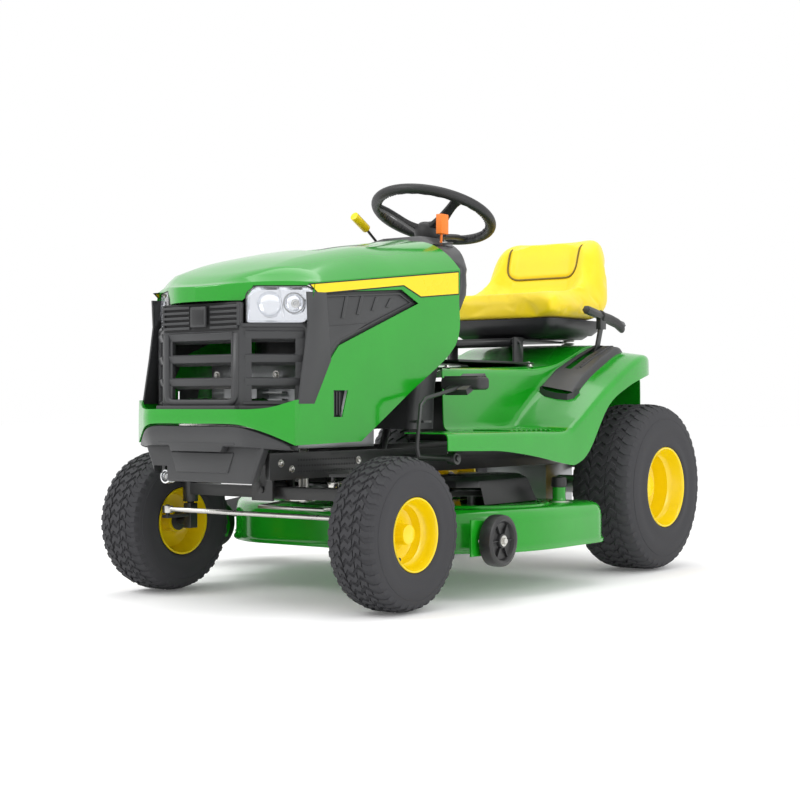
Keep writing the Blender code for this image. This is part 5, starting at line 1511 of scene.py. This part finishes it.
class MowerColours(bpy.types.PropertyGroup):
    green: FloatVectorProperty(
        name="Panel green", description="Colour of the hood, fenders and mowing deck",
        subtype="COLOR", size=3, min=0.0, max=1.0, default=(0.005, 0.285, 0.008))
    yellow: FloatVectorProperty(
        name="Wheel and seat yellow", description="Colour of the wheels, seat and stripe",
        subtype="COLOR", size=3, min=0.0, max=1.0, default=(0.85, 0.63, 0.001))
    orange: FloatVectorProperty(
        name="Throttle orange", description="Colour of the throttle lever",
        subtype="COLOR", size=3, min=0.0, max=1.0, default=(0.86, 0.19, 0.006))
    charcoal: FloatVectorProperty(
        name="Trim charcoal", description="Colour of the grille, dash and bumper",
        subtype="COLOR", size=3, min=0.0, max=1.0, default=(0.034, 0.035, 0.037))
    black: FloatVectorProperty(
        name="Plastic black", description="Colour of the belt covers and small plastic parts",
        subtype="COLOR", size=3, min=0.0, max=1.0, default=(0.014, 0.0145, 0.016))
    rubber: FloatVectorProperty(
        name="Tyre black", description="Colour of the tyres",
        subtype="COLOR", size=3, min=0.0, max=1.0, default=(0.017, 0.0175, 0.019))


class MowerSizes(bpy.types.PropertyGroup):
    tread_depth: FloatProperty(
        name="Tread depth", description="Height of the tyre bars above the carcass",
        subtype="DISTANCE", unit="LENGTH", min=0.002, max=0.010, default=0.0065)
    front_bars: IntProperty(
        name="Front tyre bars", description="Tread bars round a front tyre", min=20, max=60,
        default=42)
    rear_bars: IntProperty(
        name="Rear tyre bars", description="Tread bars round a rear tyre", min=20, max=72,
        default=46)
    scoop_depth: FloatProperty(
        name="Scoop depth", description="Depth of the inlet on top of the hood",
        subtype="DISTANCE", unit="LENGTH", min=0.0, max=0.03, default=0.017)
    fender_corner: FloatProperty(
        name="Fender corner", description="Radius of the fenders' outer edge",
        subtype="DISTANCE", unit="LENGTH", min=0.002, max=0.03, default=0.017)
    grip_ribs: IntProperty(
        name="Grip ribs", description="Finger ribs inside the steering wheel's rim", min=24,
        max=120, default=84)
    seat_puff: FloatProperty(
        name="Seat fill", description="How far the seat cover may swell as it is filled",
        subtype="DISTANCE", unit="LENGTH", min=0.002, max=0.03, default=0.012)


class MOWER_OT_finishes(bpy.types.Operator):
    """Mix every paint, plastic, rubber and metal finish."""
    bl_idname = "mower.finishes"
    bl_label = "Finishes"
    bl_options = {"REGISTER", "UNDO"}

    def execute(self, context):
        mix_finishes(context.scene.mower_colours)
        return {"FINISHED"}


class MOWER_OT_hood(bpy.types.Operator):
    """Model the hood with its scoop, stripes and louvres."""
    bl_idname = "mower.hood"
    bl_label = "Hood"
    bl_options = {"REGISTER", "UNDO"}

    def execute(self, context):
        model_hood(context.scene.mower_sizes)
        return {"FINISHED"}


class MOWER_OT_side_vents(bpy.types.Operator):
    """Model the vent panels in the hood's sides."""
    bl_idname = "mower.side_vents"
    bl_label = "Side vents"
    bl_options = {"REGISTER", "UNDO"}

    def execute(self, context):
        model_side_vents()
        model_hood_cheeks()
        return {"FINISHED"}


class MOWER_OT_grille(bpy.types.Operator):
    """Model the grille with its blades and nose plate."""
    bl_idname = "mower.grille"
    bl_label = "Grille"
    bl_options = {"REGISTER", "UNDO"}

    def execute(self, context):
        model_grille()
        return {"FINISHED"}


class MOWER_OT_headlights(bpy.types.Operator):
    """Model the headlights."""
    bl_idname = "mower.headlights"
    bl_label = "Headlights"
    bl_options = {"REGISTER", "UNDO"}

    def execute(self, context):
        model_headlights()
        return {"FINISHED"}


class MOWER_OT_bumper(bpy.types.Operator):
    """Model the front bumper and its lower plate."""
    bl_idname = "mower.bumper"
    bl_label = "Bumper"
    bl_options = {"REGISTER", "UNDO"}

    def execute(self, context):
        model_bumper()
        return {"FINISHED"}


class MOWER_OT_tyres(bpy.types.Operator):
    """Model the four turf tyres with their tread bars."""
    bl_idname = "mower.tyres"
    bl_label = "Tyres"
    bl_options = {"REGISTER", "UNDO"}

    def execute(self, context):
        model_tyres(context.scene.mower_sizes)
        return {"FINISHED"}


class MOWER_OT_rims(bpy.types.Operator):
    """Model the wheel dishes, hub caps and valves."""
    bl_idname = "mower.rims"
    bl_label = "Wheel dishes"
    bl_options = {"REGISTER", "UNDO"}

    def execute(self, context):
        model_rims()
        return {"FINISHED"}


class MOWER_OT_fenders(bpy.types.Operator):
    """Model the fenders, footrests and seat platform."""
    bl_idname = "mower.fenders"
    bl_label = "Fenders"
    bl_options = {"REGISTER", "UNDO"}

    def execute(self, context):
        model_fenders(context.scene.mower_sizes)
        return {"FINISHED"}


class MOWER_OT_quadrant(bpy.types.Operator):
    """Model the lift lever's quadrant."""
    bl_idname = "mower.quadrant"
    bl_label = "Lever quadrant"
    bl_options = {"REGISTER", "UNDO"}

    def execute(self, context):
        model_lever_quadrant()
        return {"FINISHED"}


class MOWER_OT_dash(bpy.types.Operator):
    """Model the dash console and its fittings."""
    bl_idname = "mower.dash"
    bl_label = "Dash"
    bl_options = {"REGISTER", "UNDO"}

    def execute(self, context):
        model_dash()
        return {"FINISHED"}


class MOWER_OT_steering_wheel(bpy.types.Operator):
    """Model the steering wheel."""
    bl_idname = "mower.steering_wheel"
    bl_label = "Steering wheel"
    bl_options = {"REGISTER", "UNDO"}

    def execute(self, context):
        model_steering_wheel(context.scene.mower_sizes)
        return {"FINISHED"}


class MOWER_OT_seat(bpy.types.Operator):
    """Model the padded seat, its piping, tray and springs."""
    bl_idname = "mower.seat"
    bl_label = "Seat"
    bl_options = {"REGISTER", "UNDO"}

    def execute(self, context):
        model_seat(context.scene.mower_sizes)
        return {"FINISHED"}


class MOWER_OT_levers(bpy.types.Operator):
    """Model the levers, pedals and key."""
    bl_idname = "mower.levers"
    bl_label = "Levers and pedals"
    bl_options = {"REGISTER", "UNDO"}

    def execute(self, context):
        model_levers()
        return {"FINISHED"}


class MOWER_OT_deck(bpy.types.Operator):
    """Model the mowing deck with its covers, blades, rollers and flap."""
    bl_idname = "mower.deck"
    bl_label = "Mowing deck"
    bl_options = {"REGISTER", "UNDO"}

    def execute(self, context):
        model_deck()
        return {"FINISHED"}


class MOWER_OT_engine(bpy.types.Operator):
    """Model the engine, blower shroud and exhaust."""
    bl_idname = "mower.engine"
    bl_label = "Engine"
    bl_options = {"REGISTER", "UNDO"}

    def execute(self, context):
        model_engine()
        return {"FINISHED"}


class MOWER_OT_running_gear(bpy.types.Operator):
    """Model the frame rails, axles, steering linkage, tank, battery and transaxle."""
    bl_idname = "mower.running_gear"
    bl_label = "Running gear"
    bl_options = {"REGISTER", "UNDO"}

    def execute(self, context):
        model_running_gear()
        return {"FINISHED"}


class MOWER_OT_stage(bpy.types.Operator):
    """Lay the floor and place the lights and camera."""
    bl_idname = "mower.stage"
    bl_label = "Stage"
    bl_options = {"REGISTER", "UNDO"}

    def execute(self, context):
        model_stage()
        return {"FINISHED"}


OPERATORS = (MOWER_OT_finishes, MOWER_OT_hood, MOWER_OT_side_vents, MOWER_OT_grille,
             MOWER_OT_headlights, MOWER_OT_bumper, MOWER_OT_tyres, MOWER_OT_rims,
             MOWER_OT_fenders, MOWER_OT_quadrant, MOWER_OT_dash, MOWER_OT_steering_wheel,
             MOWER_OT_seat, MOWER_OT_levers, MOWER_OT_deck, MOWER_OT_engine,
             MOWER_OT_running_gear, MOWER_OT_stage)


class MOWER_PT_panel(bpy.types.Panel):
    """Sizes, colours and the steps that build the mower."""
    bl_idname = "MOWER_PT_panel"
    bl_label = "Riding lawn mower"
    bl_space_type = "VIEW_3D"
    bl_region_type = "UI"
    bl_category = "Mower"

    def draw(self, context):
        for group in (context.scene.mower_colours, context.scene.mower_sizes):
            box = self.layout.box()
            for name in group.__annotations__:
                box.prop(group, name)
        for operator in OPERATORS:
            self.layout.operator(operator.bl_idname)


CLASSES = (MowerColours, MowerSizes, *OPERATORS, MOWER_PT_panel)


def register():
    for kind in CLASSES:
        bpy.utils.register_class(kind)
    bpy.types.Scene.mower_colours = PointerProperty(type=MowerColours)
    bpy.types.Scene.mower_sizes = PointerProperty(type=MowerSizes)


def unregister():
    del bpy.types.Scene.mower_sizes
    del bpy.types.Scene.mower_colours
    for kind in reversed(CLASSES):
        bpy.utils.unregister_class(kind)


def main():
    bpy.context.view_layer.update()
    register()
    for operator in OPERATORS:
        getattr(bpy.ops.mower, operator.bl_idname.split(".")[1])()


if __name__ == "__main__":
    main()
